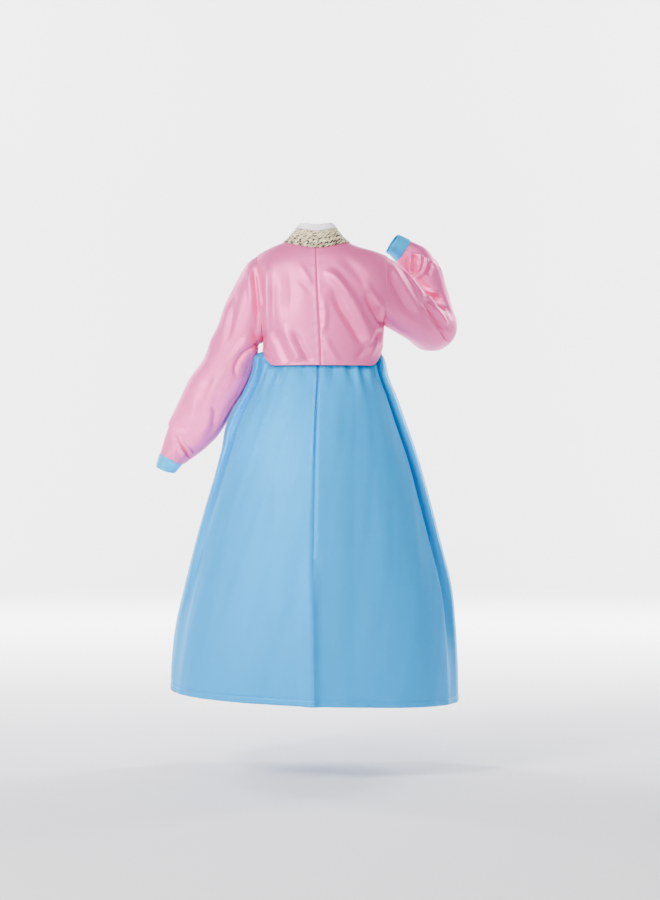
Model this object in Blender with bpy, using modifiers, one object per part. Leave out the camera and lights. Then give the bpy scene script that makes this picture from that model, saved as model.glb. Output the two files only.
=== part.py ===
"""A child's hanbok as worn: a short jacket (jeogori) over a full, high-waisted skirt (chima).

Metres, +Z up. The wearer faces -Y and the wearer's left is +X. The origin is at the base of the neck,
where the shoulders carry the garment. Every cloth piece is a thin wall between two grids of points.
"""

import math
from collections import namedtuple

import bmesh
import bpy
import numpy as np
from mathutils import Matrix

WALL = 0.0015
SEAM = 0.0003
ARM_SEAM = 0.0005
ON_TOP = 0.0008
STEP = 1e-4
SETTLE_ROUNDS = 3
SHARP_DEGREES = 50

BACK, FRONT = 1.0, -1.0

# --- Jacket body: half sizes of the worn form by height -------------------------------------------------
BodyRow = namedtuple("BodyRow", "z centre_x back front left right")
BODY = (
    BodyRow(-0.250, -0.009, 0.0975, 0.1060, 0.1120, 0.1170),
    BodyRow(-0.200, -0.007, 0.0960, 0.1030, 0.1120, 0.1215),
    BodyRow(-0.158, -0.005, 0.0930, 0.0990, 0.1115, 0.1260),
    BodyRow(-0.100, -0.002, 0.0870, 0.0910, 0.1125, 0.1310),
    BodyRow(-0.020, 0.001, 0.0800, 0.0850, 0.1150, 0.1350),
    BodyRow(0.030, 0.001, 0.0780, 0.0830, 0.1160, 0.1360),
)
RidgeRow = namedtuple("RidgeRow", "across left_z right_z")
RIDGE = (
    RidgeRow(0.000, 0.019, 0.019),
    RidgeRow(0.030, 0.016, 0.016),
    RidgeRow(0.061, 0.005, 0.005),
    RidgeRow(0.080, -0.002, -0.003),
    RidgeRow(0.112, -0.019, -0.012),
    RidgeRow(0.136, -0.038, -0.021),
)
PLAN_POWER = 2.6
SHOULDER_START_Z = -0.100
SHOULDER_ARC = 0.085
ARMHOLE_SWELL = 0.020
ARMHOLE_RISE = 0.055
BACK_HEM_Z = -0.238
FRONT_HEM_Z = -0.245
HEM_CORNER = 0.50
HEM_SWEEP = 1.3

Side = namedtuple("Side", "sign name armpit_z side_hem_z")
LEFT = Side(1.0, "left", -0.190, -0.203)
RIGHT = Side(-1.0, "right", -0.158, -0.198)

# --- Neck and front overlap ------------------------------------------------------------------------------
NECK_HALF = 0.061
NECK_BACK = 0.050
NECK_TOP_Z = 0.004
FRONT_EDGE = 0.052
INNER_EDGE = 0.040
NECK_DROP = 1.08
OVERLAP_LIFT = 0.0078
OVERLAP_FULL = 0.046
OVERLAP_END = 0.094

NECK_COLUMNS = 5
SIDE_COLUMNS = 7
EDGE_COLUMNS = 4
HEM_ROWS = 2
ARM_ROWS = 4
SHOULDER_ROWS = 6


class Track:
    """A smooth curve through one named column of a table, read by the table's first column."""

    def __init__(self, table, column):
        rows = sorted(table, key=lambda row: row[0])
        self.keys = np.array([row[0] for row in rows])
        self.values = np.array([getattr(row, column) for row in rows])
        self.slopes = np.gradient(self.values, self.keys)

    def __call__(self, key):
        key = np.clip(key, self.keys[0], self.keys[-1])
        low = np.clip(np.searchsorted(self.keys, key) - 1, 0, len(self.keys) - 2)
        width = self.keys[low + 1] - self.keys[low]
        part = (key - self.keys[low]) / width
        near = (1 + 2 * part) * (1 - part) ** 2 * self.values[low]
        far = part**2 * (3 - 2 * part) * self.values[low + 1]
        lean_near = part * (1 - part) ** 2 * width * self.slopes[low]
        lean_far = part**2 * (part - 1) * width * self.slopes[low + 1]
        return near + far + lean_near + lean_far


def tracks(table):
    """One Track for each named column after the first."""
    return {name: Track(table, name) for name in table[0]._fields[1:]}


def ease(part):
    """0 to 1 with level ends."""
    part = np.clip(part, 0.0, 1.0)
    return part * part * (3 - 2 * part)


def unit(vector):
    return vector / np.linalg.norm(vector)


BODY_TRACKS = tracks(BODY)
RIDGE_TRACKS = tracks(RIDGE)


def side_at(across):
    return LEFT if across >= 0 else RIGHT


def ridge_z(across):
    """Height of the shoulder line at a signed distance from the middle."""
    return float(RIDGE_TRACKS[side_at(across).name + "_z"](abs(across)))


def height_of(climb, across):
    """Height of a point that has climbed this far up the form from where the shoulder starts to round."""
    if climb <= 0:
        return SHOULDER_START_Z + climb
    rise = ridge_z(across) - SHOULDER_START_Z
    return SHOULDER_START_Z + rise * math.sin(min(climb / SHOULDER_ARC, math.pi / 2))


def climb_of(z, across):
    """The inverse of height_of."""
    if z <= SHOULDER_START_Z:
        return z - SHOULDER_START_Z
    rise = ridge_z(across) - SHOULDER_START_Z
    return SHOULDER_ARC * math.asin(min(1.0, (z - SHOULDER_START_Z) / rise))


def form_width(side, z):
    """Half width at which the form would close: the side below the armpit, further out over the sleeve."""
    opened = ease((z - side.armpit_z) / ARMHOLE_RISE)
    return float(BODY_TRACKS[side.name](z)) + ARMHOLE_SWELL * opened


def form_depth(face, across, climb):
    """Distance of the worn form from the middle plane, at a signed distance across and a climb."""
    z = height_of(climb, across)
    side = side_at(across)
    full = float(BODY_TRACKS["back" if face > 0 else "front"](z))
    beside = min(1.0, abs(across) / form_width(side, z))
    plan = (1 - beside**PLAN_POWER) ** (1 / PLAN_POWER)
    over = math.cos(min(climb / SHOULDER_ARC, math.pi / 2)) if climb > 0 else 1.0
    return full * plan * over


def hem_z(face, side, turn):
    """Height of the jacket's hem: level over the back or front, rising to the side seam."""
    level = BACK_HEM_Z if face > 0 else FRONT_HEM_Z
    return level + (side.side_hem_z - level) * ease((turn - HEM_CORNER) / (1 - HEM_CORNER)) ** HEM_SWEEP


def neckline_z(across):
    """Front neckline: a straight line down from the neck point across the chest."""
    return NECK_TOP_Z - (NECK_HALF - across) * NECK_DROP


class BodyPanel:
    """A quarter of the jacket body, from its own edge to its side seam and armhole."""

    def __init__(self, face, side, edge=0.0, lift=0.0):
        self.face = face
        self.side = side
        self.edge = edge
        self.lift = lift
        quarter_turns = [math.pi / 2 * column / NECK_COLUMNS for column in range(NECK_COLUMNS + 1)]
        self.neck_marks = [self.turn_of(NECK_HALF * math.sin(angle)) for angle in quarter_turns]
        self.columns = self.column_marks()
        self.rows = self.row_marks()

    def turn_of(self, across):
        """Column mark, 0 at the middle and 1 at the armhole, of a distance across the shoulder."""
        end = float(BODY_TRACKS[self.side.name](NECK_TOP_Z))
        return math.asin((across / end) ** (PLAN_POWER / 2)) / (math.pi / 2)

    def column_marks(self):
        """Marks below 0 lie past the middle, up to this panel's own edge at -1."""
        marks = [-1 + column / EDGE_COLUMNS for column in range(EDGE_COLUMNS)] if self.edge else []
        marks += self.neck_marks[:-1]
        neck = self.neck_marks[-1]
        return marks + [neck + (1 - neck) * column / SIDE_COLUMNS for column in range(SIDE_COLUMNS + 1)]

    def row_marks(self):
        """Share of the way up the side edge of each row: hem, armpit, start of the shoulder, top."""
        bottom = self.side.side_hem_z - SHOULDER_START_Z
        armpit = self.side.armpit_z - SHOULDER_START_Z
        top = SHOULDER_ARC * math.pi / 2
        climbs = list(np.linspace(bottom, armpit, HEM_ROWS + 1))
        climbs += list(np.linspace(armpit, 0.0, ARM_ROWS + 1))[1:]
        climbs += list(np.linspace(0.0, top, SHOULDER_ROWS + 1))[1:]
        return [(climb - bottom) / (top - bottom) for climb in climbs]

    def across(self, turn, z):
        """Signed distance from the middle of a column mark at a height."""
        if turn < 0:
            return self.side.sign * turn * self.edge
        end = float(BODY_TRACKS[self.side.name](z))
        return self.side.sign * end * math.sin(turn * math.pi / 2) ** (2 / PLAN_POWER)

    def top_climb(self, turn):
        """How far up a column reaches: to the neckline, or to the shoulder seam."""
        across = self.across(turn, NECK_TOP_Z)
        inward = self.side.sign * across
        if turn >= self.neck_marks[-1] - STEP:
            return SHOULDER_ARC * math.pi / 2
        if self.face < 0:
            return climb_of(neckline_z(inward), across)
        reach = NECK_BACK * math.sqrt(1 - (inward / NECK_HALF) ** 2)
        narrowing = float(BODY_TRACKS["back"](0.0) / BODY_TRACKS["back"](SHOULDER_START_Z))
        full = form_depth(BACK, across, 0.0) * narrowing
        return SHOULDER_ARC * math.acos(min(1.0, reach / full))

    def overlap(self, across):
        """How far this panel stands out where it laps over the other front."""
        inward = self.side.sign * across
        return self.lift * (1 - ease((inward - OVERLAP_FULL) / (OVERLAP_END - OVERLAP_FULL)))

    def surface(self, turn, mark):
        """Point of the outer surface at a column mark and a share of the way up."""
        bottom = hem_z(self.face, self.side, max(turn, 0.0)) - SHOULDER_START_Z
        climb = bottom + (self.top_climb(turn) - bottom) * mark
        across = self.across(turn, SHOULDER_START_Z)
        for _ in range(SETTLE_ROUNDS):
            across = self.across(turn, height_of(climb, across))
        z = height_of(climb, across)
        shoulder = math.cos(max(0.0, climb) / SHOULDER_ARC)
        depth = form_depth(self.face, across, climb) + self.overlap(across) * shoulder
        x = float(BODY_TRACKS["centre_x"](z)) + across
        return np.array([x, self.face * depth, z])

    def normal(self, turn, mark):
        """Outward normal of the surface, by small steps along it."""
        lowest = self.columns[0]
        along = self.surface(min(turn + STEP, 1.0), mark) - self.surface(max(turn - STEP, lowest), mark)
        up = self.surface(turn, min(mark + STEP, 1.0)) - self.surface(turn, max(mark - STEP, 0.0))
        return unit(np.cross(along, up)) * self.face * -self.side.sign

    def grids(self, wall=WALL):
        """Outer and inner points, row by row, parted from the neighbours by half a seam."""
        parted = np.array([0.0 if self.edge else self.side.sign * SEAM / 2, self.face * SEAM / 2, 0.0])
        outer, inner = [], []
        for mark in self.rows:
            points = [self.surface(turn, mark) + parted for turn in self.columns]
            outer.append(points)
            inner.append([p - wall * self.normal(t, mark) for p, t in zip(points, self.columns)])
        return np.array(outer), np.array(inner)


def wall_object(name, outer, inner, material, closed=False):
    """A closed body between two grids of points. With closed, each row of points is a ring."""
    rows, columns = outer.shape[:2]
    body = bmesh.new()
    faces_out = [[body.verts.new(point) for point in row] for row in outer]
    faces_in = [[body.verts.new(point) for point in row] for row in inner]
    spans = columns if closed else columns - 1
    for row in range(rows - 1):
        for column in range(spans):
            after = (column + 1) % columns
            for grid in (faces_out, faces_in):
                body.faces.new(
                    (grid[row][column], grid[row][after], grid[row + 1][after], grid[row + 1][column])
                )
    for column in range(spans):
        after = (column + 1) % columns
        for row in (0, rows - 1):
            body.faces.new(
                (faces_out[row][column], faces_out[row][after], faces_in[row][after], faces_in[row][column])
            )
    if not closed:
        for row in range(rows - 1):
            for column in (0, columns - 1):
                body.faces.new(
                    (
                        faces_out[row][column],
                        faces_out[row + 1][column],
                        faces_in[row + 1][column],
                        faces_in[row][column],
                    )
                )
    bmesh.ops.recalc_face_normals(body, faces=body.faces)
    mesh = bpy.data.meshes.new(name)
    body.to_mesh(mesh)
    body.free()
    mesh.shade_smooth()
    mesh.set_sharp_from_angle(angle=math.radians(SHARP_DEGREES))
    made = bpy.data.objects.new(name, mesh)
    mesh.materials.append(material)
    return made


# --- Sleeves: each row is the point under the arm, the point over it, and half the width between ---------
SleeveRow = namedtuple("SleeveRow", "low_x low_y low_z top_x top_y top_z half_deep")
LEFT_SLEEVE = (
    SleeveRow(0.120, 0.000, -0.200, 0.139, 0.000, -0.041, 0.054),
    SleeveRow(0.122, -0.002, -0.220, 0.160, -0.003, -0.078, 0.052),
    SleeveRow(0.127, -0.006, -0.245, 0.177, -0.008, -0.113, 0.050),
    SleeveRow(0.138, -0.012, -0.276, 0.192, -0.014, -0.157, 0.048),
    SleeveRow(0.150, -0.018, -0.294, 0.207, -0.020, -0.188, 0.046),
    SleeveRow(0.164, -0.024, -0.313, 0.220, -0.026, -0.218, 0.044),
    SleeveRow(0.180, -0.031, -0.341, 0.248, -0.033, -0.256, 0.042),
    SleeveRow(0.197, -0.038, -0.365, 0.268, -0.040, -0.295, 0.039),
    SleeveRow(0.218, -0.044, -0.388, 0.285, -0.046, -0.333, 0.036),
    SleeveRow(0.241, -0.049, -0.408, 0.300, -0.051, -0.371, 0.032),
    SleeveRow(0.263, -0.053, -0.425, 0.310, -0.055, -0.404, 0.028),
)
LEFT_CUFF = (
    SleeveRow(0.272, -0.056, -0.435, 0.314, -0.058, -0.418, 0.026),
    SleeveRow(0.281, -0.058, -0.445, 0.318, -0.060, -0.431, 0.025),
)
RIGHT_SLEEVE = (
    SleeveRow(-0.157, -0.020, -0.171, -0.155, -0.015, -0.036, 0.054),
    SleeveRow(-0.183, -0.036, -0.184, -0.175, -0.035, -0.057, 0.049),
    SleeveRow(-0.211, -0.056, -0.195, -0.194, -0.062, -0.089, 0.046),
    SleeveRow(-0.237, -0.078, -0.199, -0.207, -0.088, -0.115, 0.045),
    SleeveRow(-0.258, -0.102, -0.193, -0.213, -0.104, -0.124, 0.045),
    SleeveRow(-0.268, -0.124, -0.174, -0.212, -0.119, -0.115, 0.045),
    SleeveRow(-0.269, -0.138, -0.148, -0.206, -0.129, -0.096, 0.045),
    SleeveRow(-0.268, -0.145, -0.115, -0.198, -0.134, -0.078, 0.045),
    SleeveRow(-0.261, -0.147, -0.079, -0.186, -0.134, -0.060, 0.043),
    SleeveRow(-0.244, -0.145, -0.031, -0.172, -0.132, -0.042, 0.039),
    SleeveRow(-0.219, -0.140, 0.006, -0.162, -0.129, -0.030, 0.032),
    SleeveRow(-0.186, -0.134, 0.022, -0.159, -0.128, -0.021, 0.026),
)
RIGHT_CUFF = (
    SleeveRow(-0.173, -0.132, 0.028, -0.149, -0.126, -0.010, 0.026),
    SleeveRow(-0.160, -0.130, 0.033, -0.139, -0.124, -0.003, 0.026),
)
RING_POWER = 2.15
MITRE_LIMIT = -0.2
TURN_ROWS = 4
CUFF_WALL = 0.0022
SLEEVE_SPLITS = {"left": ((6, "_lower"), (8, "_wrist")), "right": ((6, "_lower"),)}

# --- Collar: direction across its width, at marks from the front end (0) past the neck point (1) to the
# back of the neck (2)
CollarRow = namedtuple("CollarRow", "mark across forward up")
COLLAR = (
    CollarRow(0.0, 0.70, 0.10, 0.70),
    CollarRow(0.5, 0.70, 0.30, 0.64),
    CollarRow(0.8, 0.66, 0.34, 0.68),
    CollarRow(1.0, 0.68, 0.16, 0.72),
    CollarRow(1.5, 0.40, -0.26, 0.87),
    CollarRow(2.0, 0.00, -0.38, 0.92),
)
COLLAR_WIDTH = 0.046
COLLAR_ROWS = (0.06, 0.33, 0.66, 1.0)
COLLAR_WALL = 0.0016
STRIP_WIDTH = 0.0135
STRIP_FIRST_COLUMN = 2
STRIP_LAST_COLUMN = -1
STRIP_WALL = 0.0012
STRIP_GAP = 0.0006
COLLAR_LAP = 0.004
LAP_LIFT = 0.0004
HIDDEN_COLUMNS = 5
NEAR_TOP = 0.985
COLLAR_CURL = 0.004
FLAT_UNTIL = 0.9

# --- Skirt: edges of the outline and depths by height ----------------------------------------------------
SkirtRow = namedtuple("SkirtRow", "z seam_x left_x right_x back front gather")
SKIRT = (
    SkirtRow(-0.150, -0.004, 0.0930, -0.1000, 0.0810, 0.0850, 0.0022),
    SkirtRow(-0.180, -0.004, 0.0955, -0.1080, 0.0840, 0.0880, 0.0022),
    SkirtRow(-0.200, -0.004, 0.0985, -0.1180, 0.0860, 0.0910, 0.0020),
    SkirtRow(-0.220, -0.004, 0.1180, -0.1310, 0.0880, 0.0950, 0.0018),
    SkirtRow(-0.240, -0.003, 0.1200, -0.1365, 0.0910, 0.0985, 0.0015),
    SkirtRow(-0.256, -0.003, 0.1250, -0.1400, 0.1000, 0.1060, 0.0011),
    SkirtRow(-0.293, -0.001, 0.1415, -0.1550, 0.1170, 0.1210, 0.0005),
    SkirtRow(-0.332, 0.000, 0.1630, -0.1690, 0.1320, 0.1360, 0.0),
    SkirtRow(-0.410, 0.002, 0.1870, -0.1960, 0.1570, 0.1610, 0.0),
    SkirtRow(-0.507, 0.004, 0.2165, -0.2230, 0.1810, 0.1840, 0.0),
    SkirtRow(-0.585, 0.005, 0.2380, -0.2430, 0.1960, 0.1990, 0.0),
    SkirtRow(-0.663, 0.006, 0.2575, -0.2620, 0.2080, 0.2100, 0.0),
    SkirtRow(-0.741, 0.005, 0.2750, -0.2700, 0.2160, 0.2180, 0.0),
    SkirtRow(-0.819, 0.004, 0.2830, -0.2740, 0.2200, 0.2220, 0.0),
    SkirtRow(-0.900, 0.002, 0.2830, -0.2750, 0.2200, 0.2220, 0.0),
)
SKIRT_TOP_Z = -0.150
SKIRT_HEM_Z = -0.874
TOP_ROWS = (-0.175, -0.198, -0.210, -0.223, -0.235, -0.247, -0.262, -0.285, -0.318, -0.360, -0.410)
LOWER_ROWS = (-0.465, -0.525, -0.590, -0.660, -0.730, -0.800)
SKIRT_HEIGHTS = (SKIRT_TOP_Z, *TOP_ROWS, *LOWER_ROWS, SKIRT_HEM_Z)
SKIRT_POWER = 2.3
SKIRT_WALL = 0.0013
SKIRT_HEM_LEAN = 0.011
TUCK = 0.0048
SPRING = 1.6
SPRING_EASE = 0.008
HEM_SETTLE_ROUNDS = 2
TURN_STEP = 0.5
HEIGHT_STEP = 0.002

FoldRow = namedtuple("FoldRow", "z left_turn left_depth right_turn right_depth")
SIDE_FOLDS = (
    FoldRow(-0.150, 62.0, 0.000, 60.0, 0.000),
    FoldRow(-0.200, 62.0, 0.004, 61.0, 0.006),
    FoldRow(-0.240, 63.0, 0.011, 62.0, 0.016),
    FoldRow(-0.320, 64.0, 0.016, 63.0, 0.022),
    FoldRow(-0.420, 66.0, 0.018, 65.0, 0.026),
    FoldRow(-0.550, 67.0, 0.013, 67.0, 0.022),
    FoldRow(-0.650, 67.0, 0.007, 68.0, 0.014),
    FoldRow(-0.760, 66.0, 0.002, 69.0, 0.005),
    FoldRow(-0.900, 66.0, 0.000, 69.0, 0.001),
)
FOLD_HALF_TURN = 7.0
QUARTER_COLUMNS = 16
SkirtWidth = namedtuple("SkirtWidth", "name first last first_shift last_shift")
SKIRT_WIDTHS = (
    SkirtWidth("chima_back_left", 0, 1, (1, 0, 0), (0, 1, 0)),
    SkirtWidth("chima_front", 1, 3, (0, -1, 0), (0, -1, 0)),
    SkirtWidth("chima_back_right", 3, 4, (0, 1, 0), (-1, 0, 0)),
)
FOLD_COLUMN = 12
FLUTES = 5
FLUTE_DEPTH = 0.011
FLUTE_TOP_Z = -0.30

# --- Band and straps that carry the skirt ----------------------------------------------------------------
BAND_TOP_Z = -0.112
BAND_WALL = 0.0020
BAND_BACK = 0.0780
BAND_FRONT = 0.0830
BAND_LEFT_X = 0.0915
BAND_RIGHT_X = -0.0980
BAND_ROWS = 4
BAND_COLUMNS = 32
STRAP_ACROSS = 0.086
STRAP_HALF = 0.011
STRAP_ROWS = 9
STRAP_ABOVE_BAND = 0.004
STRAP_WALL = 0.0015
STRAP_UNDER = WALL + 0.0016

# --- Tie ribbons -----------------------------------------------------------------------------------------
RIBBON_WALL = 0.0012
RIBBON_ACROSS = (-1.0, -0.4, 0.4, 1.0)
COVER_REACH = (-0.012, -0.006, 0.0, 0.006, 0.012)
SKIRT_SHOWS_Z = -0.180
HEM_MARGIN = 0.004
KNOT_X = -0.030
KNOT_Z = -0.128
KNOT_SIZE = (0.030, 0.014, 0.032)
KNOT_REACH = (-0.012, 0.0, 0.012)
KNOT_ROUNDING = 0.0045
KNOT_ROUND_STEPS = 3
LOOP_LENGTH = 0.078
LOOP_HALF_HEIGHT = 0.017
LOOP_OPENING = 0.010
LOOP_DROOP = 0.010
LOOP_STAND = 0.004
LOOP_PINCH_SPREAD = 0.35
LOOP_SPREAD_REACH = 2.0
LOOP_PINCH_HEIGHT = 0.55
LOOP_HEIGHT_REACH = 1.8
TURN_STEPS = 6
RIBBON_HALF = 0.018
RIBBON_STEPS = 14
TAIL_PINCH = 0.45
TAIL_PINCH_REACH = 3.0
RibbonRow = namedtuple("RibbonRow", "name root_x end_x end_z lift")
TAILS = (
    RibbonRow("goreum_long_tail", -0.036, -0.050, -0.430, 0.0012),
    RibbonRow("goreum_short_tail", -0.022, -0.004, -0.370, 0.0058),
)

Finish = namedtuple("Finish", "red green blue roughness")
PINK_SATIN = Finish(0.80, 0.38, 0.53, 0.38)
BLUE_SATIN = Finish(0.16, 0.55, 0.80, 0.35)
PALE_BLUE = Finish(0.20, 0.53, 0.78, 0.42)
GOLD_BROCADE = Finish(0.62, 0.52, 0.30, 0.55)
WHITE_CLOTH = Finish(0.85, 0.84, 0.86, 0.60)


def material(name, finish):
    """Cloth of one colour."""
    made = bpy.data.materials.new(name)
    made.use_nodes = True
    shader = made.node_tree.nodes["Principled BSDF"]
    colour = (finish.red, finish.green, finish.blue, 1.0)
    shader.inputs["Base Color"].default_value = colour
    shader.inputs["Roughness"].default_value = finish.roughness
    shader.inputs["Metallic"].default_value = 0.0
    made.diffuse_color = colour
    return made


SKIRT_TRACKS = tracks(SKIRT)
FOLD_TRACKS = tracks(SIDE_FOLDS)


def armhole(side, back, front):
    """The ring of points round an armhole: from the armpit up the back and down the front."""
    rising = back[HEM_ROWS:, -1]
    falling = front[HEM_ROWS:, -1][::-1]
    middle = (rising[-1] + falling[0]) / 2
    bottom = (rising[0] + falling[-1]) / 2
    ring = np.vstack([[bottom], rising[1:-1], [middle], falling[1:-1]])
    return ring + np.array([side.sign * ARM_SEAM, 0.0, 0.0])


def mitre(side, back_grids, front_grids, sleeve_normals):
    """Inner ring of the armhole seam, where the body's wall and the sleeve's wall meet at an angle."""
    body_in = armhole(side, back_grids[1], front_grids[1])
    body_out = armhole(side, back_grids[0], front_grids[0])
    body_normals = (body_out - body_in) / WALL
    agree = np.sum(body_normals * sleeve_normals, axis=1, keepdims=True)
    ring = body_out - WALL * (body_normals + sleeve_normals) / (1 + np.maximum(agree, MITRE_LIMIT))
    rows = len(back_grids[0]) - HEM_ROWS
    unshifted = ring - np.array([side.sign * ARM_SEAM, 0.0, 0.0])
    part = np.array([0.0, SEAM / 2, 0.0])
    back_grids[1][HEM_ROWS:, -1] = unshifted[:rows] + part
    front_grids[1][HEM_ROWS:, -1] = np.vstack([unshifted[:1], unshifted[:-rows:-1]]) - part
    return ring


def ring_normals(rings):
    """Outward normals of a tube given as rows of rings."""
    along = np.gradient(rings, axis=0)
    around = np.roll(rings, -1, axis=1) - np.roll(rings, 1, axis=1)
    normals = np.cross(along, around)
    normals /= np.linalg.norm(normals, axis=2, keepdims=True)
    outward = np.sum(normals * (rings - rings.mean(axis=1, keepdims=True)), axis=2).mean()
    return normals * math.copysign(1.0, outward)


def sleeve_rings(side, table, count):
    """One ring for each row of a sleeve's table, in the order of the armhole's ring."""
    low = np.array([(row.low_x, row.low_y, row.low_z) for row in table])
    top = np.array([(row.top_x, row.top_y, row.top_z) for row in table])
    along = np.gradient((low + top) / 2, axis=0)
    along /= np.linalg.norm(along, axis=1, keepdims=True)
    rings = []
    for index, row in enumerate(table):
        reach = (top[index] - low[index]) / 2
        turned = ease((index + 1) / TURN_ROWS)
        ahead = along[index] * turned + np.array([side.sign, 0.0, 0.0]) * (1 - turned)
        aside = unit(np.cross(reach, ahead)) * side.sign * row.half_deep
        ring = []
        for point in range(count):
            turn = 2 * math.pi * point / count
            rise = -math.copysign(abs(math.cos(turn)) ** (2 / RING_POWER), math.cos(turn))
            swing = math.copysign(abs(math.sin(turn)) ** (2 / RING_POWER), math.sin(turn))
            ring.append((low[index] + top[index]) / 2 + reach * rise + aside * swing)
        rings.append(ring)
    return np.array(rings)


def sleeve_grids(side, back_grids, front_grids, table, cuff_table):
    """Outer and inner rings of a sleeve and of its cuff."""
    outer_loop = armhole(side, back_grids[0], front_grids[0])
    count = len(outer_loop)
    rings = sleeve_rings(side, table + cuff_table, count)
    whole = np.concatenate([[outer_loop], rings])
    normals = ring_normals(whole)
    sleeve = whole[: len(table) + 1]
    sleeve_in = sleeve - WALL * normals[: len(table) + 1]
    sleeve_in[0] = mitre(side, back_grids, front_grids, normals[0])
    parted = unit(rings[len(table)].mean(axis=0) - sleeve[-1].mean(axis=0)) * SEAM
    start = sleeve[-1] + parted
    cuff = np.concatenate([[start], rings[len(table) :]])
    cuff_in = cuff - CUFF_WALL * normals[len(table) :]
    return (sleeve, sleeve_in), (cuff, cuff_in)


def split_sleeve(pair, splits):
    """Parts a bent sleeve at some of its rings, so that each length is close to a straight tube."""
    lengths = {}
    name, rest, passed = "", pair, 0
    for ring, next_name in splits:
        outer, own_ring = rest[0], ring - passed
        parted = unit(outer[own_ring + 1].mean(axis=0) - outer[own_ring].mean(axis=0)) * SEAM
        lengths[name] = [grid[: own_ring + 1] for grid in rest]
        rest = [np.concatenate([[grid[own_ring] + parted], grid[own_ring + 1 :]]) for grid in rest]
        name, passed = next_name, ring
    lengths[name] = rest
    return lengths


def neckline_bases(left_front, right_front, left_back, right_back):
    """Points along the neckline: up the left front, round the back of the neck, down the right front."""
    found = []
    for panel, falling in ((left_front, False), (left_back, True), (right_back, False), (right_front, True)):
        marks = [mark for mark in panel.columns if mark <= panel.neck_marks[-1] + STEP]
        if panel is left_back:
            marks = marks[:-1]
        elif panel is right_back:
            marks = marks[1:-1]
        elif panel is right_front:
            marks = marks[HIDDEN_COLUMNS:]
        for mark in reversed(marks) if falling else marks:
            base = panel.surface(mark, 1.0)
            share = abs(base[0] + panel.side.sign * panel.edge) / (NECK_HALF + panel.edge)
            place = share if panel.face < 0 else 2 - abs(base[0]) / NECK_HALF
            found.append((base, panel.normal(mark, NEAR_TOP), min(place, 2.0), panel.side.sign))
    return found


def collar_grids(bases):
    """Outer and inner points of the collar, from its sewn edge on the panels to its free edge."""
    lean = tracks(COLLAR)
    inner = []
    tangents = np.gradient(np.array([base for base, _, _, _ in bases]), axis=0)
    for (base, outward, place, sign), tangent in zip(bases, tangents):
        rise = unit(
            np.array([-sign * lean["across"](place), lean["forward"](place), lean["up"](place)])
        )
        flat = 1 - ease(place / FLAT_UNTIL)
        rise = unit(rise - outward * np.dot(rise, outward) * flat)
        lifted = base + outward * ON_TOP
        lap = unit(np.cross(outward, tangent))
        lap *= -math.copysign(1.0, np.dot(lap, rise))
        row = [lifted + lap * COLLAR_LAP + outward * LAP_LIFT]
        for share in COLLAR_ROWS:
            row.append(lifted + rise * COLLAR_WIDTH * share - outward * COLLAR_CURL * flat * share**2)
        inner.append(row)
    inner = np.array(inner)
    along = np.gradient(inner, axis=0)
    across = np.gradient(inner, axis=1)
    normals = np.cross(along, across)
    normals /= np.linalg.norm(normals, axis=2, keepdims=True)
    outer = inner + normals * COLLAR_WALL
    return outer, inner, normals


def strip_grids(collar_outer, normals):
    """The narrow white strip on the collar's upper edge, made from the collar's own points."""
    covered = slice(STRIP_FIRST_COLUMN, STRIP_LAST_COLUMN)
    top = collar_outer[covered, -1]
    below = collar_outer[covered, -2]
    outward = normals[covered, -3:]
    span = np.linalg.norm(top - below, axis=1, keepdims=True)
    start = top + (below - top) / span * STRIP_WIDTH
    inner = np.stack([start, (start + top) / 2, top], axis=1) + outward * STRIP_GAP
    return inner + outward * STRIP_WALL, inner


def skirt_base(turn, z):
    """Point of the smooth skirt at a turn in degrees from the middle of the back."""
    angle = math.radians(turn)
    sine, cosine = math.sin(angle), math.cos(angle)
    seam = float(SKIRT_TRACKS["seam_x"](z))
    edge = float(SKIRT_TRACKS["left_x" if sine >= 0 else "right_x"](z))
    deep = float(SKIRT_TRACKS["back" if cosine >= 0 else "front"](z))
    x = seam + (edge - seam) * abs(sine) ** (2 / SKIRT_POWER)
    y = math.copysign(deep * abs(cosine) ** (2 / SKIRT_POWER), cosine)
    return np.array([x, y, z])


def under_jacket(point):
    """Draws a point of the skirt in under the jacket, and lets it spring out below the jacket's hem."""
    x, y, z = point
    centre = float(BODY_TRACKS["centre_x"](max(z, FRONT_HEM_Z)))
    across = x - centre
    side = side_at(across)
    face = BACK if y >= 0 else FRONT
    level = z
    for _ in range(HEM_SETTLE_ROUNDS):
        wide = float(BODY_TRACKS[side.name](level))
        deep = float(BODY_TRACKS["back" if face > 0 else "front"](level))
        reach = math.hypot(across, y)
        ratio = ((abs(across) / wide) ** PLAN_POWER + (abs(y) / deep) ** PLAN_POWER) ** (1 / PLAN_POWER)
        jacket = reach / ratio
        beside = min(1.0, abs(across) / reach * jacket / wide)
        hem = hem_z(face, side, math.asin(beside ** (PLAN_POWER / 2)) / (math.pi / 2))
        level = max(z, hem)
    below = max(0.0, hem - z)
    limit = jacket - WALL - TUCK + SPRING * below**2 / (below + SPRING_EASE)
    shrink = min(1.0, limit / reach)
    return np.array([centre + across * shrink, y * shrink, z])


def skirt_hem_z(turn):
    """The hem rides a little higher at the wearer's left."""
    return SKIRT_HEM_Z + SKIRT_HEM_LEAN * math.sin(math.radians(turn))


def fold_turn(side, z):
    return float(FOLD_TRACKS[side.name + "_turn"](z))


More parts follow.
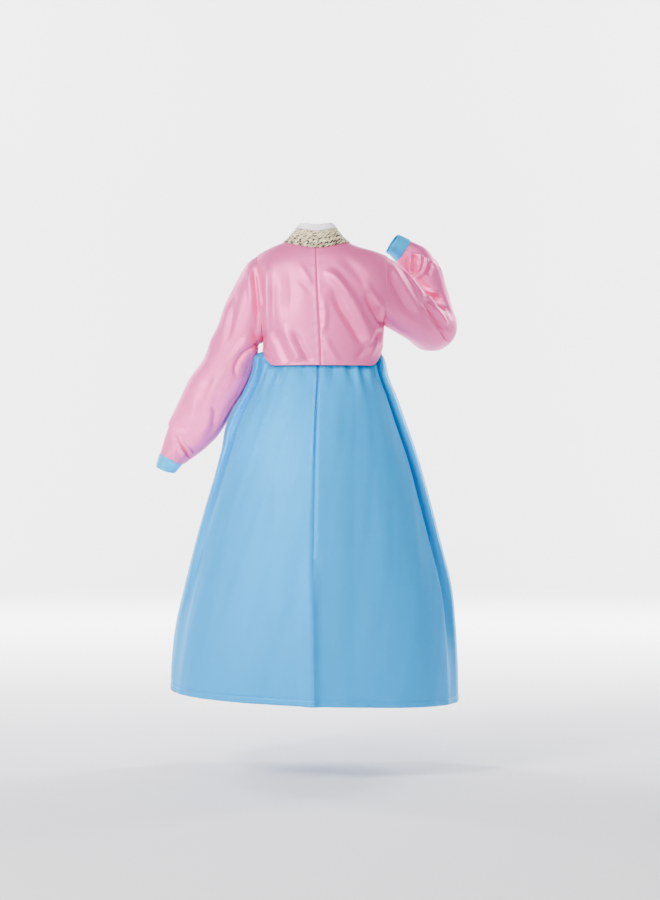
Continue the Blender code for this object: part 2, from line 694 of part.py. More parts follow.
def skirt_turn(column, z):
    """Turn of a column, 0 to 64 round from the middle of the back: columns crowd in at the two side folds."""
    quarter, place = divmod(column, QUARTER_COLUMNS)
    if quarter in (0, 3):
        side = LEFT if quarter == 0 else RIGHT
        place = place if quarter == 0 else QUARTER_COLUMNS - place
        centre = fold_turn(side, z)
        marks = (0, FOLD_COLUMN - 2, FOLD_COLUMN, FOLD_COLUMN + 2, QUARTER_COLUMNS)
        turns = (0.0, centre - FOLD_HALF_TURN, centre, centre + FOLD_HALF_TURN, 90.0)
        turn = float(np.interp(place, marks, turns))
        return turn if quarter == 0 else 360 - turn
    return 90.0 * (quarter + place / QUARTER_COLUMNS)


def skirt_inset(turn, z):
    """How far the cloth lies inside the smooth skirt: side folds, and soft flutes over the front."""
    turn = (turn + 180) % 360 - 180
    side = side_at(turn)
    away = abs(abs(turn) - fold_turn(side, z)) / FOLD_HALF_TURN
    depth = float(FOLD_TRACKS[side.name + "_depth"](z))
    inset = depth * math.cos(min(away, 1.0) * math.pi / 2) ** 2
    if abs(turn) > 90:
        grown = ease((FLUTE_TOP_Z - z) / (FLUTE_TOP_Z - SKIRT_HEM_Z))
        share = (abs(turn) - 90) / 90
        inset += FLUTE_DEPTH * grown * (1 - math.cos(2 * math.pi * FLUTES * share / 2)) / 2
    return inset


def skirt_grids(first, last):
    """Outer and inner points of the columns from first to last, with their gathers."""
    outer, inner = [], []
    for height in SKIRT_HEIGHTS:
        share = (height - SKIRT_TOP_Z) / (SKIRT_HEM_Z - SKIRT_TOP_Z)
        row_out, row_in = [], []
        for column in range(first, last + 1):
            rough_turn = skirt_turn(column % (4 * QUARTER_COLUMNS), height)
            z = SKIRT_TOP_Z + (skirt_hem_z(rough_turn) - SKIRT_TOP_Z) * share
            turn = skirt_turn(column % (4 * QUARTER_COLUMNS), z)
            around = skirt_base(turn + TURN_STEP, z) - skirt_base(turn - TURN_STEP, z)
            up = skirt_base(turn, z + HEIGHT_STEP) - skirt_base(turn, z - HEIGHT_STEP)
            normal = unit(np.cross(up, around))
            normal *= math.copysign(1.0, np.dot(normal[:2], skirt_base(turn, z)[:2]))
            gather = float(SKIRT_TRACKS["gather"](z)) * (1 if column % 2 else -1)
            point = under_jacket(skirt_base(turn, z) + normal * (gather - skirt_inset(turn, z)))
            row_out.append(point)
            row_in.append(point - normal * SKIRT_WALL)
        outer.append(row_out)
        inner.append(row_in)
    return np.array(outer), np.array(inner)


def part_seams(grids, first_shift, last_shift):
    """Moves the first and last columns of a panel off its neighbours by half a seam."""
    for grid in grids:
        grid[:, 0] += np.array(first_shift) * SEAM / 2
        grid[:, -1] += np.array(last_shift) * SEAM / 2
    return grids


def band_grids():
    """The chest band: a flat ring just above the skirt's gathered edge."""
    outer, inner = [], []
    for z in np.linspace(BAND_TOP_Z, SKIRT_TOP_Z + SEAM, BAND_ROWS):
        for grid, wall in ((outer, 0.0), (inner, BAND_WALL)):
            row = []
            for column in range(BAND_COLUMNS):
                angle = 2 * math.pi * column / BAND_COLUMNS
                sine, cosine = math.sin(angle), math.cos(angle)
                edge = BAND_LEFT_X - wall if sine >= 0 else -BAND_RIGHT_X - wall
                deep = (BAND_BACK if cosine >= 0 else BAND_FRONT) - wall
                x = math.copysign(edge * abs(sine) ** (2 / SKIRT_POWER), sine)
                y = math.copysign(deep * abs(cosine) ** (2 / SKIRT_POWER), cosine)
                row.append((x, y, z))
            grid.append(row)
    return np.array(outer), np.array(inner)


def form_point(face, across, climb):
    """Point of the worn form itself."""
    z = height_of(climb, across)
    x = float(BODY_TRACKS["centre_x"](z)) + across
    return np.array([x, face * form_depth(face, across, climb), z])


def strap_grids(side):
    """A shoulder strap from the back of the band over the shoulder to its front, under the jacket."""
    top = SHOULDER_ARC * math.pi / 2
    climbs = list(np.linspace(BAND_TOP_Z + STRAP_ABOVE_BAND - SHOULDER_START_Z, top - STEP, STRAP_ROWS))
    path = [(BACK, climb) for climb in climbs] + [(FRONT, climb) for climb in reversed(climbs[:-1])]
    outer, inner = [], []
    for offset in (-STRAP_HALF, 0.0, STRAP_HALF):
        row_out, row_in = [], []
        for face, climb in path:
            across = side.sign * STRAP_ACROSS + offset
            sideways = form_point(face, across + STEP, climb) - form_point(face, across - STEP, climb)
            up = form_point(face, across, climb) - form_point(face, across, climb - STEP)
            normal = unit(np.cross(sideways, up)) * -face
            point = form_point(face, across, climb)
            row_out.append(point - normal * STRAP_UNDER)
            row_in.append(point - normal * (STRAP_UNDER + STRAP_WALL))
        outer.append(row_out)
        inner.append(row_in)
    return np.array(outer), np.array(inner)


def front_cover(x, z, left_front):
    """Depth of what the ribbons lie on at a place on the front: the jacket, or the skirt below its hem."""
    deepest = 0.0
    for near in COVER_REACH:
        level = z + near
        if level > FRONT_HEM_Z - HEM_MARGIN:
            across = x - float(BODY_TRACKS["centre_x"](level))
            worn = form_depth(FRONT, across, climb_of(level, across)) + left_front.overlap(across)
            deepest = max(deepest, worn)
        if level < SKIRT_SHOWS_Z:
            row = {name: float(track(level)) for name, track in SKIRT_TRACKS.items()}
            edge = row["left_x"] - row["seam_x"] if x > row["seam_x"] else row["seam_x"] - row["right_x"]
            beside = abs(x - row["seam_x"]) / edge
            worn = row["front"] * (1 - beside**SKIRT_POWER) ** (1 / SKIRT_POWER) + row["gather"]
            deepest = max(deepest, worn)
    return deepest


def knot(cloth, left_front):
    """The tied knot: a small soft block on the front panel."""
    bpy.ops.mesh.primitive_cube_add(size=1.0)
    made = bpy.context.active_object
    made.name = made.data.name = "goreum_knot"
    made.data.transform(Matrix.Diagonal((*KNOT_SIZE, 1.0)))
    depth = max(front_cover(KNOT_X + aside, KNOT_Z, left_front) for aside in KNOT_REACH)
    made.location = (KNOT_X, -depth - ON_TOP - KNOT_SIZE[1] / 2, KNOT_Z)
    made.data.materials.append(cloth)
    rounding = made.modifiers.new("rounding", "BEVEL")
    rounding.width = KNOT_ROUNDING
    rounding.segments = KNOT_ROUND_STEPS
    made.data.shade_smooth()
    bpy.context.collection.objects.unlink(made)
    return made


def ribbon_object(name, points, across_normals, cloth):
    """A flat ribbon between two grids of points."""
    return wall_object(name, points, points - across_normals * RIBBON_WALL, cloth)


def loop_path():
    """Distance out from the knot and lift of each step of the loop: out, round the turn, and back."""
    radius = LOOP_OPENING / 2
    straight = LOOP_LENGTH - radius
    path = [(straight * step / RIBBON_STEPS, 0.0) for step in range(RIBBON_STEPS)]
    turn = [math.pi * step / TURN_STEPS for step in range(TURN_STEPS + 1)]
    path += [(straight + radius * math.sin(angle), radius * (1 - math.cos(angle))) for angle in turn]
    path += [(straight * step / RIBBON_STEPS, 2 * radius) for step in range(RIBBON_STEPS - 1, -1, -1)]
    return path


def loop_object(cloth, left_front):
    """The single loop of the bow: out from the knot over the chest, round, and back."""
    start = KNOT_X + KNOT_SIZE[0] / 2 + SEAM
    rows = []
    for out, lift in loop_path():
        share_out = out / LOOP_LENGTH
        spread = LOOP_PINCH_SPREAD + (1 - LOOP_PINCH_SPREAD) * ease(share_out * LOOP_SPREAD_REACH)
        opened = LOOP_PINCH_HEIGHT + (1 - LOOP_PINCH_HEIGHT) * ease(share_out * LOOP_HEIGHT_REACH)
        half = LOOP_HALF_HEIGHT * opened
        row = []
        for share in RIBBON_ACROSS:
            x = start + out
            z = KNOT_Z - LOOP_DROOP * share_out**2 + half * share
            cover = front_cover(min(x, start + LOOP_LENGTH - LOOP_OPENING), KNOT_Z, left_front)
            row.append((x, -cover - ON_TOP - RIBBON_WALL - LOOP_STAND * share_out - lift * spread, z))
        rows.append(row)
    rows = np.array(rows)
    along = np.gradient(rows, axis=0)
    normals = np.cross(along, np.array([0.0, 0.0, 1.0]))
    normals /= np.linalg.norm(normals, axis=2, keepdims=True)
    return ribbon_object("goreum_loop", rows, normals, cloth)


def tail_object(tail, cloth, left_front):
    """A hanging end of the tie, lying on the jacket and then on the skirt."""
    top = KNOT_Z - KNOT_SIZE[2] / 2 - SEAM
    rows = []
    for step in range(RIBBON_STEPS + 1):
        part = step / RIBBON_STEPS
        z = top + (tail.end_z - top) * part
        middle = tail.root_x + (tail.end_x - tail.root_x) * ease(part)
        half = RIBBON_HALF * (TAIL_PINCH + (1 - TAIL_PINCH) * ease(part * TAIL_PINCH_REACH))
        row = []
        for share in RIBBON_ACROSS:
            x = middle + half * share
            row.append((x, -front_cover(x, z, left_front) - tail.lift - RIBBON_WALL, z))
        rows.append(row)
    rows = np.array(rows)
    normals = np.zeros_like(rows)
    normals[..., 1] = -1.0
    return ribbon_object(tail.name, rows, normals, cloth)


def main():
    for startup in list(bpy.data.objects):
        bpy.data.objects.remove(startup, do_unlink=True)
    collection = bpy.data.collections.new("korean_hanbok")
    bpy.context.scene.collection.children.link(collection)
    pink = material("pink_satin", PINK_SATIN)
    blue = material("blue_satin", BLUE_SATIN)
    cuff_blue = material("pale_blue_satin", PALE_BLUE)
    gold = material("gold_brocade", GOLD_BROCADE)
    white = material("white_cloth", WHITE_CLOTH)

    left_back = BodyPanel(BACK, LEFT)
    right_back = BodyPanel(BACK, RIGHT)
    left_front = BodyPanel(FRONT, LEFT, FRONT_EDGE, OVERLAP_LIFT)
    right_front = BodyPanel(FRONT, RIGHT, INNER_EDGE)
    panels = {
        "jeogori_back_left": left_back,
        "jeogori_back_right": right_back,
        "jeogori_front_left": left_front,
        "jeogori_front_right": right_front,
    }
    grids = {name: panel.grids() for name, panel in panels.items()}
    made = []
    for side, sleeve, cuff in ((LEFT, LEFT_SLEEVE, LEFT_CUFF), (RIGHT, RIGHT_SLEEVE, RIGHT_CUFF)):
        back, front = grids["jeogori_back_" + side.name], grids["jeogori_front_" + side.name]
        sleeve_pair, cuff_pair = sleeve_grids(side, back, front, sleeve, cuff)
        for ending, length_pair in split_sleeve(sleeve_pair, SLEEVE_SPLITS[side.name]).items():
            made.append(wall_object("sleeve_" + side.name + ending, *length_pair, pink, closed=True))
        made.append(wall_object("cuff_" + side.name, *cuff_pair, cuff_blue, closed=True))

    made += [wall_object(name, *grids[name], pink) for name in panels]

    bases = neckline_bases(left_front, right_front, left_back, right_back)
    collar_out, collar_in, normals = collar_grids(bases)
    made.append(wall_object("collar_git", collar_out, collar_in, gold))
    made.append(wall_object("dongjeong", *strip_grids(collar_out, normals), white))

    for width in SKIRT_WIDTHS:
        columns = skirt_grids(width.first * QUARTER_COLUMNS, width.last * QUARTER_COLUMNS)
        made.append(wall_object(width.name, *part_seams(columns, width.first_shift, width.last_shift), blue))
    made.append(wall_object("malgi_band", *band_grids(), white, closed=True))
    for side in (LEFT, RIGHT):
        made.append(wall_object("strap_" + side.name, *strap_grids(side), white))

    made.append(knot(cuff_blue, left_front))
    made.append(loop_object(cuff_blue, left_front))
    made += [tail_object(tail, cuff_blue, left_front) for tail in TAILS]

    for piece in made:
        collection.objects.link(piece)


main()
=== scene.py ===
"""A child's hanbok as worn: satin jacket, brocade collar, tie ribbons and a full satin skirt.

Every cloth piece is a thin shell on the form of its own solid, with its creases pressed in.
Metres, +Z up. The wearer faces -Y and the wearer's left is +X.
"""

import logging
import math
from dataclasses import dataclass, field
from enum import Enum
from typing import Any, Callable, Iterable, NamedTuple, Optional, Sequence, Union

import bpy
import numpy as np
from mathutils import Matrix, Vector


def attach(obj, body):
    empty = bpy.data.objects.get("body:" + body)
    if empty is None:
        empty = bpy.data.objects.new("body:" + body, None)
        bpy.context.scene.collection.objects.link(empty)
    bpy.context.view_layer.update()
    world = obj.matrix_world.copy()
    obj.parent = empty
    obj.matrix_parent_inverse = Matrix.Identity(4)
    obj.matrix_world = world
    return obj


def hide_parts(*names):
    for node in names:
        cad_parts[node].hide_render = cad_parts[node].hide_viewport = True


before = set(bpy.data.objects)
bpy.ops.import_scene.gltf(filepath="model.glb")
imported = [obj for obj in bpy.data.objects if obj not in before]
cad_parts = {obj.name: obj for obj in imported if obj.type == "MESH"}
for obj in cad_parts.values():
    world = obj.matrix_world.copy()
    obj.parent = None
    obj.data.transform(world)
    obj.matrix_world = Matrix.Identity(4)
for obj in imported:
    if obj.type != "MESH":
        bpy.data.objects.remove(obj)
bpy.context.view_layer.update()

Points = np.ndarray
Colour = tuple[float, float, float]
Line = tuple[tuple[float, float], ...]
Cloth = bpy.types.Material
Piece = bpy.types.Object

LOG = logging.getLogger("hanbok")
WALL = 0.0015
SEAM = 0.0003
ARM_SEAM = 0.0005
ON_TOP = 0.0008
STEP = 1e-4
MM = 0.001
THREAD_LIFT = 0.0001


class Face(Enum):
    """Which way a piece of the garment looks."""

    BACK = 1.0
    FRONT = -1.0


class Side(NamedTuple):
    """One side of the garment, by the wearer's own hand."""

    sign: float
    name: str
    armpit_z: float
    side_hem_z: float


LEFT = Side(1.0, "left", -0.190, -0.203)
RIGHT = Side(-1.0, "right", -0.158, -0.198)


def table(kind: Callable[..., Any], *rows: tuple[float, ...]) -> tuple[Any, ...]:
    """Makes a table of named rows."""
    return tuple(kind(*row) for row in rows)


def in_metres(kind: Callable[..., Any], *rows: tuple[float, ...]) -> tuple[Any, ...]:
    """Makes a table of named rows, in metres, from sizes in millimetres."""
    return table(kind, *([size / 1000 for size in row] for row in rows))


class BodyRow(NamedTuple):
    """Half sizes of the worn jacket at one height."""

    z: float
    centre_x: float
    back: float
    front: float
    left: float
    right: float


BODY = in_metres(
    BodyRow,
    (-250, -9, 97.5, 106, 112, 117),
    (-200, -7, 96, 103, 112, 121.5),
    (-158, -5, 93, 99, 111.5, 126),
    (-100, -2, 87, 91, 112.5, 131),
    (-20, 1, 80, 85, 115, 135),
    (30, 1, 78, 83, 116, 136),
)


class RidgeRow(NamedTuple):
    """Height of the shoulder line at a distance from the middle."""

    across: float
    left_z: float
    right_z: float


RIDGE = in_metres(
    RidgeRow,
    (0, 19, 19),
    (30, 16, 16),
    (61, 5, 5),
    (80, -2, -3),
    (112, -19, -12),
    (136, -38, -21),
)


class SleeveRow(NamedTuple):
    """The point under the arm, the point over it, and half the width between them."""

    low_x: float
    low_y: float
    low_z: float
    top_x: float
    top_y: float
    top_z: float
    half_deep: float


LEFT_SLEEVE = in_metres(
    SleeveRow,
    (120, 0, -200, 139, 0, -41, 54),
    (122, -2, -220, 160, -3, -78, 52),
    (127, -6, -245, 177, -8, -113, 50),
    (138, -12, -276, 192, -14, -157, 48),
    (150, -18, -294, 207, -20, -188, 46),
    (164, -24, -313, 220, -26, -218, 44),
    (180, -31, -341, 248, -33, -256, 42),
    (197, -38, -365, 268, -40, -295, 39),
    (218, -44, -388, 285, -46, -333, 36),
    (241, -49, -408, 300, -51, -371, 32),
    (263, -53, -425, 310, -55, -404, 28),
)
LEFT_CUFF = in_metres(
    SleeveRow,
    (272, -56, -435, 314, -58, -418, 26),
    (281, -58, -445, 318, -60, -431, 25),
)
RIGHT_SLEEVE = in_metres(
    SleeveRow,
    (-157, -20, -171, -155, -15, -36, 54),
    (-183, -36, -184, -175, -35, -57, 49),
    (-211, -56, -195, -194, -62, -89, 46),
    (-237, -78, -199, -207, -88, -115, 45),
    (-258, -102, -193, -213, -104, -124, 45),
    (-268, -124, -174, -212, -119, -115, 45),
    (-269, -138, -148, -206, -129, -96, 45),
    (-268, -145, -115, -198, -134, -78, 45),
    (-261, -147, -79, -186, -134, -60, 43),
    (-244, -145, -31, -172, -132, -42, 39),
    (-219, -140, 6, -162, -129, -30, 32),
    (-186, -134, 22, -159, -128, -21, 26),
)
RIGHT_CUFF = in_metres(
    SleeveRow,
    (-173, -132, 28, -149, -126, -10, 26),
    (-160, -130, 33, -139, -124, -3, 26),
)


class CollarRow(NamedTuple):
    """Direction across the collar, from its front end (0) past the neck point (1) to the back (2)."""

    mark: float
    across: float
    forward: float
    up: float


COLLAR = table(
    CollarRow,
    (0.0, 0.70, 0.10, 0.70),
    (0.5, 0.70, 0.30, 0.64),
    (0.8, 0.66, 0.34, 0.68),
    (1.0, 0.68, 0.16, 0.72),
    (1.5, 0.40, -0.26, 0.87),
    (2.0, 0.00, -0.38, 0.92),
)


class SkirtRow(NamedTuple):
    """Edges and depths of the skirt at one height."""

    z: float
    seam_x: float
    left_x: float
    right_x: float
    back: float
    front: float


SKIRT = in_metres(
    SkirtRow,
    (-150, -4, 93, -100, 81, 85),
    (-180, -4, 95.5, -108, 84, 88),
    (-200, -4, 98.5, -118, 86, 91),
    (-220, -4, 118, -131, 88, 95),
    (-240, -3, 120, -136.5, 91, 98.5),
    (-256, -3, 125, -140, 100, 106),
    (-293, -1, 141.5, -155, 117, 121),
    (-332, 0, 163, -169, 132, 136),
    (-410, 2, 187, -196, 157, 161),
    (-507, 4, 216.5, -223, 181, 184),
    (-585, 5, 238, -243, 196, 199),
    (-663, 6, 257.5, -262, 208, 210),
    (-741, 5, 275, -270, 216, 218),
    (-819, 4, 283, -274, 220, 222),
    (-900, 2, 283, -275, 220, 222),
)


class FoldRow(NamedTuple):
    """Turn in degrees and depth of the deep pleat down each side of the skirt."""

    z: float
    left_turn: float
    left_depth: float
    right_turn: float
    right_depth: float


SIDE_FOLDS = table(
    FoldRow,
    (-0.150, 62.0, 0.000, 60.0, 0.000),
    (-0.200, 62.0, 0.006, 61.0, 0.008),
    (-0.240, 63.0, 0.015, 62.0, 0.022),
    (-0.320, 64.0, 0.020, 63.0, 0.032),
    (-0.420, 66.0, 0.021, 65.0, 0.036),
    (-0.550, 67.0, 0.016, 67.0, 0.032),
    (-0.650, 67.0, 0.008, 68.0, 0.020),
    (-0.760, 66.0, 0.002, 69.0, 0.008),
    (-0.900, 66.0, 0.000, 69.0, 0.002),
)


# --- Curves and grids ---


class Track:
    """A smooth curve through one named column of a table, read by the table's first column."""

    def __init__(self, keys: Sequence[float], values: Points) -> None:
        """Keeps the keys in rising order, with their values and slopes.

        Args:
            keys: Where each value holds.
            values: One value, or one row of values, for each key.
        """
        self.keys = np.asarray(keys, dtype=float)
        self.values = np.asarray(values, dtype=float)
        self.slopes = np.gradient(self.values, self.keys, axis=0)

    def __call__(self, key: Points) -> Points:
        """Reads the curve.

        Args:
            key: One key or many.

        Returns:
            The value at each key.
        """
        key = np.clip(key, self.keys[0], self.keys[-1])
        low = np.clip(np.searchsorted(self.keys, key) - 1, 0, len(self.keys) - 2)
        width = self.keys[low + 1] - self.keys[low]
        part = (key - self.keys[low]) / width
        if self.values.ndim > 1:
            shape = np.shape(part) + (1,) * (self.values.ndim - 1)
            part, width = np.reshape(part, shape), np.reshape(width, shape)
        near = (1 + 2 * part) * (1 - part) ** 2 * self.values[low]
        far = part**2 * (3 - 2 * part) * self.values[low + 1]
        lean_near = part * (1 - part) ** 2 * width * self.slopes[low]
        lean_far = part**2 * (part - 1) * width * self.slopes[low + 1]
        return near + far + lean_near + lean_far


def tracks(table: Sequence[NamedTuple]) -> dict[str, Track]:
    """Makes one curve for each named column after the first.

    Args:
        table: Rows whose first column is the key.

    Returns:
        The curves by column name.
    """
    rows = sorted(table, key=lambda row: row[0])
    keys = [row[0] for row in rows]
    return {name: Track(keys, [getattr(row, name) for row in rows]) for name in table[0]._fields[1:]}


def ease(part: Points) -> Points:
    """Goes from 0 to 1 with level ends."""
    part = np.clip(part, 0.0, 1.0)
    return part * part * (3 - 2 * part)


def hump(part: Points) -> Points:
    """Goes from 1 in the middle to 0 at a distance of 1 either way, with level ends."""
    return 1 - ease(np.abs(part))


def fall(distance: Points, width: float) -> Points:
    """Goes from 1 at an edge to 0 at this distance from it, with level ends."""
    return 1 - ease(distance / width)


def rounded(part: Points, power: float) -> Points:
    """Bends a sine or cosine so that an oval becomes squarer with a higher power."""
    return np.copysign(np.abs(part) ** (2 / power), part)


def unit(vector: Points) -> Points:
    """Scales each vector to a length of 1."""
    return vector / np.maximum(np.linalg.norm(vector, axis=-1, keepdims=True), 1e-12)


def subdivide(marks: Sequence[float], parts: int) -> Points:
    """Puts evenly spaced marks between each pair of marks, to give it this many parts."""
    spans = np.arange((len(marks) - 1) * parts + 1) / parts
    return np.interp(spans, np.arange(len(marks)), marks)


def refine(grid: Points, row_parts: int, column_parts: int) -> Points:
    """Draws a smooth surface through a coarse grid of points.

    Args:
        grid: Rows by columns of points.
        row_parts: Spans between two rows.
        column_parts: Spans between two columns.

    Returns:
        The finer grid, which passes through the coarse one.
    """
    for axis, parts in ((0, row_parts), (1, column_parts)):
        if parts == 1:
            continue
        lanes = np.moveaxis(grid, axis, 0)
        steps = np.linalg.norm(np.diff(lanes, axis=0), axis=2).mean(axis=1)
        keys = np.concatenate([[0.0], np.cumsum(np.maximum(steps, STEP))])
        grid = np.moveaxis(Track(keys, lanes)(subdivide(keys, parts)), 0, axis)
    return grid


def refine_ring(grid: Points, row_parts: int, column_parts: int) -> Points:
    """Draws a smooth tube through coarse rings of points, with no break where each ring closes.

    Args:
        grid: Rows of rings.
        row_parts: Spans between two rings.
        column_parts: Spans between two points of a ring.

    Returns:
        The finer rings.
    """
    if column_parts == 1:
        return refine(grid, row_parts, 1)
    around = np.concatenate([grid[:, -2:], grid, grid[:, :3]], axis=1)
    fine = refine(around, row_parts, column_parts)
    return fine[:, 2 * column_parts : -3 * column_parts]


def wander(where: Points, seed: int, length: float) -> Points:
    """A smooth uneven line of about -1 to 1, the same on each run.

    Args:
        where: Positions along the line.
        seed: Which line.
        length: Roughly the length of one swing.

    Returns:
        The height of the line at each position.
    """
    total = np.zeros_like(np.asarray(where, dtype=float))
    for index, (rate, share) in enumerate(((1.0, 0.55), (1.73, 0.30), (2.91, 0.15))):
        phase = 2.399 * seed + 1.7 * index
        total = total + share * np.sin(2 * math.pi * rate * where / length + phase)
    return total


def put(name: str, data: bpy.types.ID) -> Piece:
    """Puts a mesh, a line, a lamp or the camera in the scene.

    Args:
        name: Name of the new object.
        data: What it holds.

    Returns:
        The new object.
    """
    made = bpy.data.objects.new(name, data)
    bpy.context.scene.collection.objects.link(made)
    return made


@dataclass
class Shell:
    """A thin wall of cloth on a grid of points: rows by columns, outer side."""

    name: str
    outer: Points
    wall: float = 0.0011
    closed: bool = False
    hint: Optional[Points] = None

    def normals(self) -> Points:
        """Finds the outward direction at each point.

        Returns:
            One direction for each point.
        """
        along = np.gradient(self.outer, axis=0)
        if self.closed:
            around = np.roll(self.outer, -1, axis=1) - np.roll(self.outer, 1, axis=1)
        else:
            around = np.gradient(self.outer, axis=1)
        normals = unit(np.cross(along, around))
        if self.hint is not None:
            towards = self.hint
        elif self.closed:
            towards = self.outer - self.outer.mean(axis=1, keepdims=True)
        else:
            towards = self.outer * np.array([1.0, 1.0, 0.0])
        return normals * math.copysign(1.0, float(np.sum(normals * towards)))

    def push(self, amount: Points) -> "Shell":
        """Moves each point outwards by its own distance, inwards where that is below 0."""
        self.outer = self.outer + self.normals() * amount[..., None]
        return self

    def coordinates(self) -> tuple[Points, Points]:
        """Finds how far each point lies across and along the cloth, in metres.

        Returns:
            The distances across, and those along.
        """

        def run(axis: int) -> Points:
            """Adds up the steps along one axis.

            Args:
                axis: 0 down the rows, 1 along them.

            Returns:
                Distance from the first row or column.
            """
            steps = np.linalg.norm(np.diff(self.outer, axis=axis), axis=2)
            start = np.zeros_like(np.take(steps, [0], axis=axis))
            return np.concatenate([start, np.cumsum(steps, axis=axis)], axis=axis)

        return run(1), run(0)

    def seam_line(self, where: Any) -> Points:
        """Points just above the cloth along one row or column, where thread lies."""
        return self.outer[where] + self.normals()[where] * THREAD_LIFT

    def build(self, material: Cloth) -> Piece:
        """Makes the closed mesh, with a UV map in metres of cloth.

        Args:
            material: The cloth.

        Returns:
            The new object, at the origin.
        """
        rows, columns = self.outer.shape[:2]
        inner = self.outer - self.normals() * self.wall
        points = np.concatenate([self.outer.reshape(-1, 3), inner.reshape(-1, 3)])
        spans = columns if self.closed else columns - 1
        row, column = np.meshgrid(np.arange(rows - 1), np.arange(spans), indexing="ij")
        after = (column + 1) % columns
        near, far = row * columns, (row + 1) * columns
        out = np.stack([near + column, near + after, far + after, far + column], axis=-1).reshape(-1, 4)
        offset = rows * columns
        parts = [out, out[:, ::-1] + offset]
        edge, nxt = np.arange(spans), (np.arange(spans) + 1) % columns
        last = (rows - 1) * columns
        parts.append(np.stack([nxt, edge, edge + offset, nxt + offset], axis=-1))
        parts.append(np.stack([edge, nxt, nxt + offset, edge + offset], axis=-1) + last)
        if not self.closed:
            up = np.arange(rows - 1) * columns
            parts.append(np.stack([up, up + columns, up + columns + offset, up + offset], axis=-1))
            side = up + columns - 1
            below = side + columns
            parts.append(np.stack([below, side, side + offset, below + offset], axis=-1))
        faces = np.concatenate(parts)
        mesh = bpy.data.meshes.new(self.name)
        first = self.outer[out[0] // columns, out[0] % columns]
        turned = np.cross(first[1] - first[0], first[3] - first[0])
        if float(np.dot(turned, self.normals()[0, 0])) < 0:
            faces = faces[:, ::-1]
        mesh.from_pydata(points.tolist(), [], faces.tolist())
        across, along = self.coordinates()
        places = np.stack([np.tile(across.ravel(), 2), np.tile(along.ravel(), 2)], axis=-1)
        corners = np.empty(len(mesh.loops), dtype=np.int32)
        mesh.loops.foreach_get("vertex_index", corners)
        layer = mesh.uv_layers.new(name="cloth")
        layer.data.foreach_set("uv", self._closed_seam(places[corners], across).ravel())
        mesh.shade_smooth()
        mesh.set_sharp_from_angle(angle=math.radians(65))
        mesh.validate()
        mesh.materials.append(material)
        return put(self.name, mesh)

    def _closed_seam(self, places: Points, across: Points) -> Points:
        """Carries the map on past the last column of a ring, so no face runs back over the whole map.

        Args:
            places: The map's value at each face corner.
            across: Distance round each ring at each point.

        Returns:
            The map with the closing faces carried on.
        """
        if not self.closed:
            return places
        quads = places.reshape(-1, 4, 2)
        widest = float(across.max() - across.min())
        spread = quads[:, :, 0].max(axis=1) - quads[:, :, 0].min(axis=1)
        torn = spread > widest / 2
        corner = quads[torn, :, 0]
        quads[torn, :, 0] = np.where(corner < widest / 2, corner + widest, corner)
        return quads.reshape(-1, 2)


@dataclass(frozen=True)
class Crease:
    """A soft trough (depth below 0) or ridge pressed in along a line seen from the back or the front.

    The line holds x and z in millimetres. left and right are the widths in millimetres to either side,
    going along the line as it is listed, and fade is the share of the line over which each end dies out.
    """

    line: Line
    depth: float
    left: float
    right: float
    fade: tuple[float, float] = (0.35, 0.35)
    point: float = 0.45
    face: Face = Face.BACK

    def press(self, points: Points, normals: Points) -> Points:
        """Works out how far the crease moves each point.

        Args:
            points: The surface's points.
            normals: Their outward directions.

        Returns:
            The distance outwards for each point.
        """
        path = refine(np.array([[(x, 0.0, z)] for x, z in self.line]) * MM, 8, 1)[:, 0, ::2]
        lengths = np.linalg.norm(np.diff(path, axis=0), axis=1)
        before = np.concatenate([[0.0], np.cumsum(lengths)])
        flat = points.reshape(-1, 3)[:, ::2]
        reach = max(self.left, self.right) * MM
        low, high = path.min(axis=0) - reach, path.max(axis=0) + reach
        close = np.all((flat > low) & (flat < high), axis=1)
        amount = np.zeros(len(flat))
        where = flat[close]
        if not len(where):
            return amount.reshape(points.shape[:-1])
        best = np.full(len(where), np.inf)
        share = np.zeros(len(where))
        hand = np.zeros(len(where))
        for index, length in enumerate(lengths):
            start, way = path[index], (path[index + 1] - path[index]) / length
            offset = where - start
            along = np.clip(offset @ way, 0.0, length)
            gap = np.linalg.norm(offset - along[:, None] * way, axis=1)
            nearer = gap < best
            best = np.where(nearer, gap, best)
            share = np.where(nearer, (before[index] + along) / before[-1], share)
            hand = np.where(nearer, way[0] * offset[:, 1] - way[1] * offset[:, 0], hand)
        width = np.where(hand > 0, self.left, self.right) * MM
        start_fade = ease(share / max(self.fade[0], STEP)) if self.fade[0] else 1.0
        end_fade = ease((1 - share) / max(self.fade[1], STEP)) if self.fade[1] else 1.0
        towards = normals.reshape(-1, 3)[close][:, 1] * self.face.value
        away = best / width
        profile = (1 - self.point) * hump(away) + self.point * np.maximum(1 - away, 0.0) ** 1.5
        amount[close] = self.depth * MM * profile * start_fade * end_fade * ease(towards * 2.2 + 0.15)
        return amount.reshape(points.shape[:-1])


def creases(face: Face, *rows: tuple[Any, ...]) -> tuple[Crease, ...]:
    """Makes the creases seen from one side, each row as the fields of Crease."""
    return tuple(Crease(*row, face=face) for row in rows)


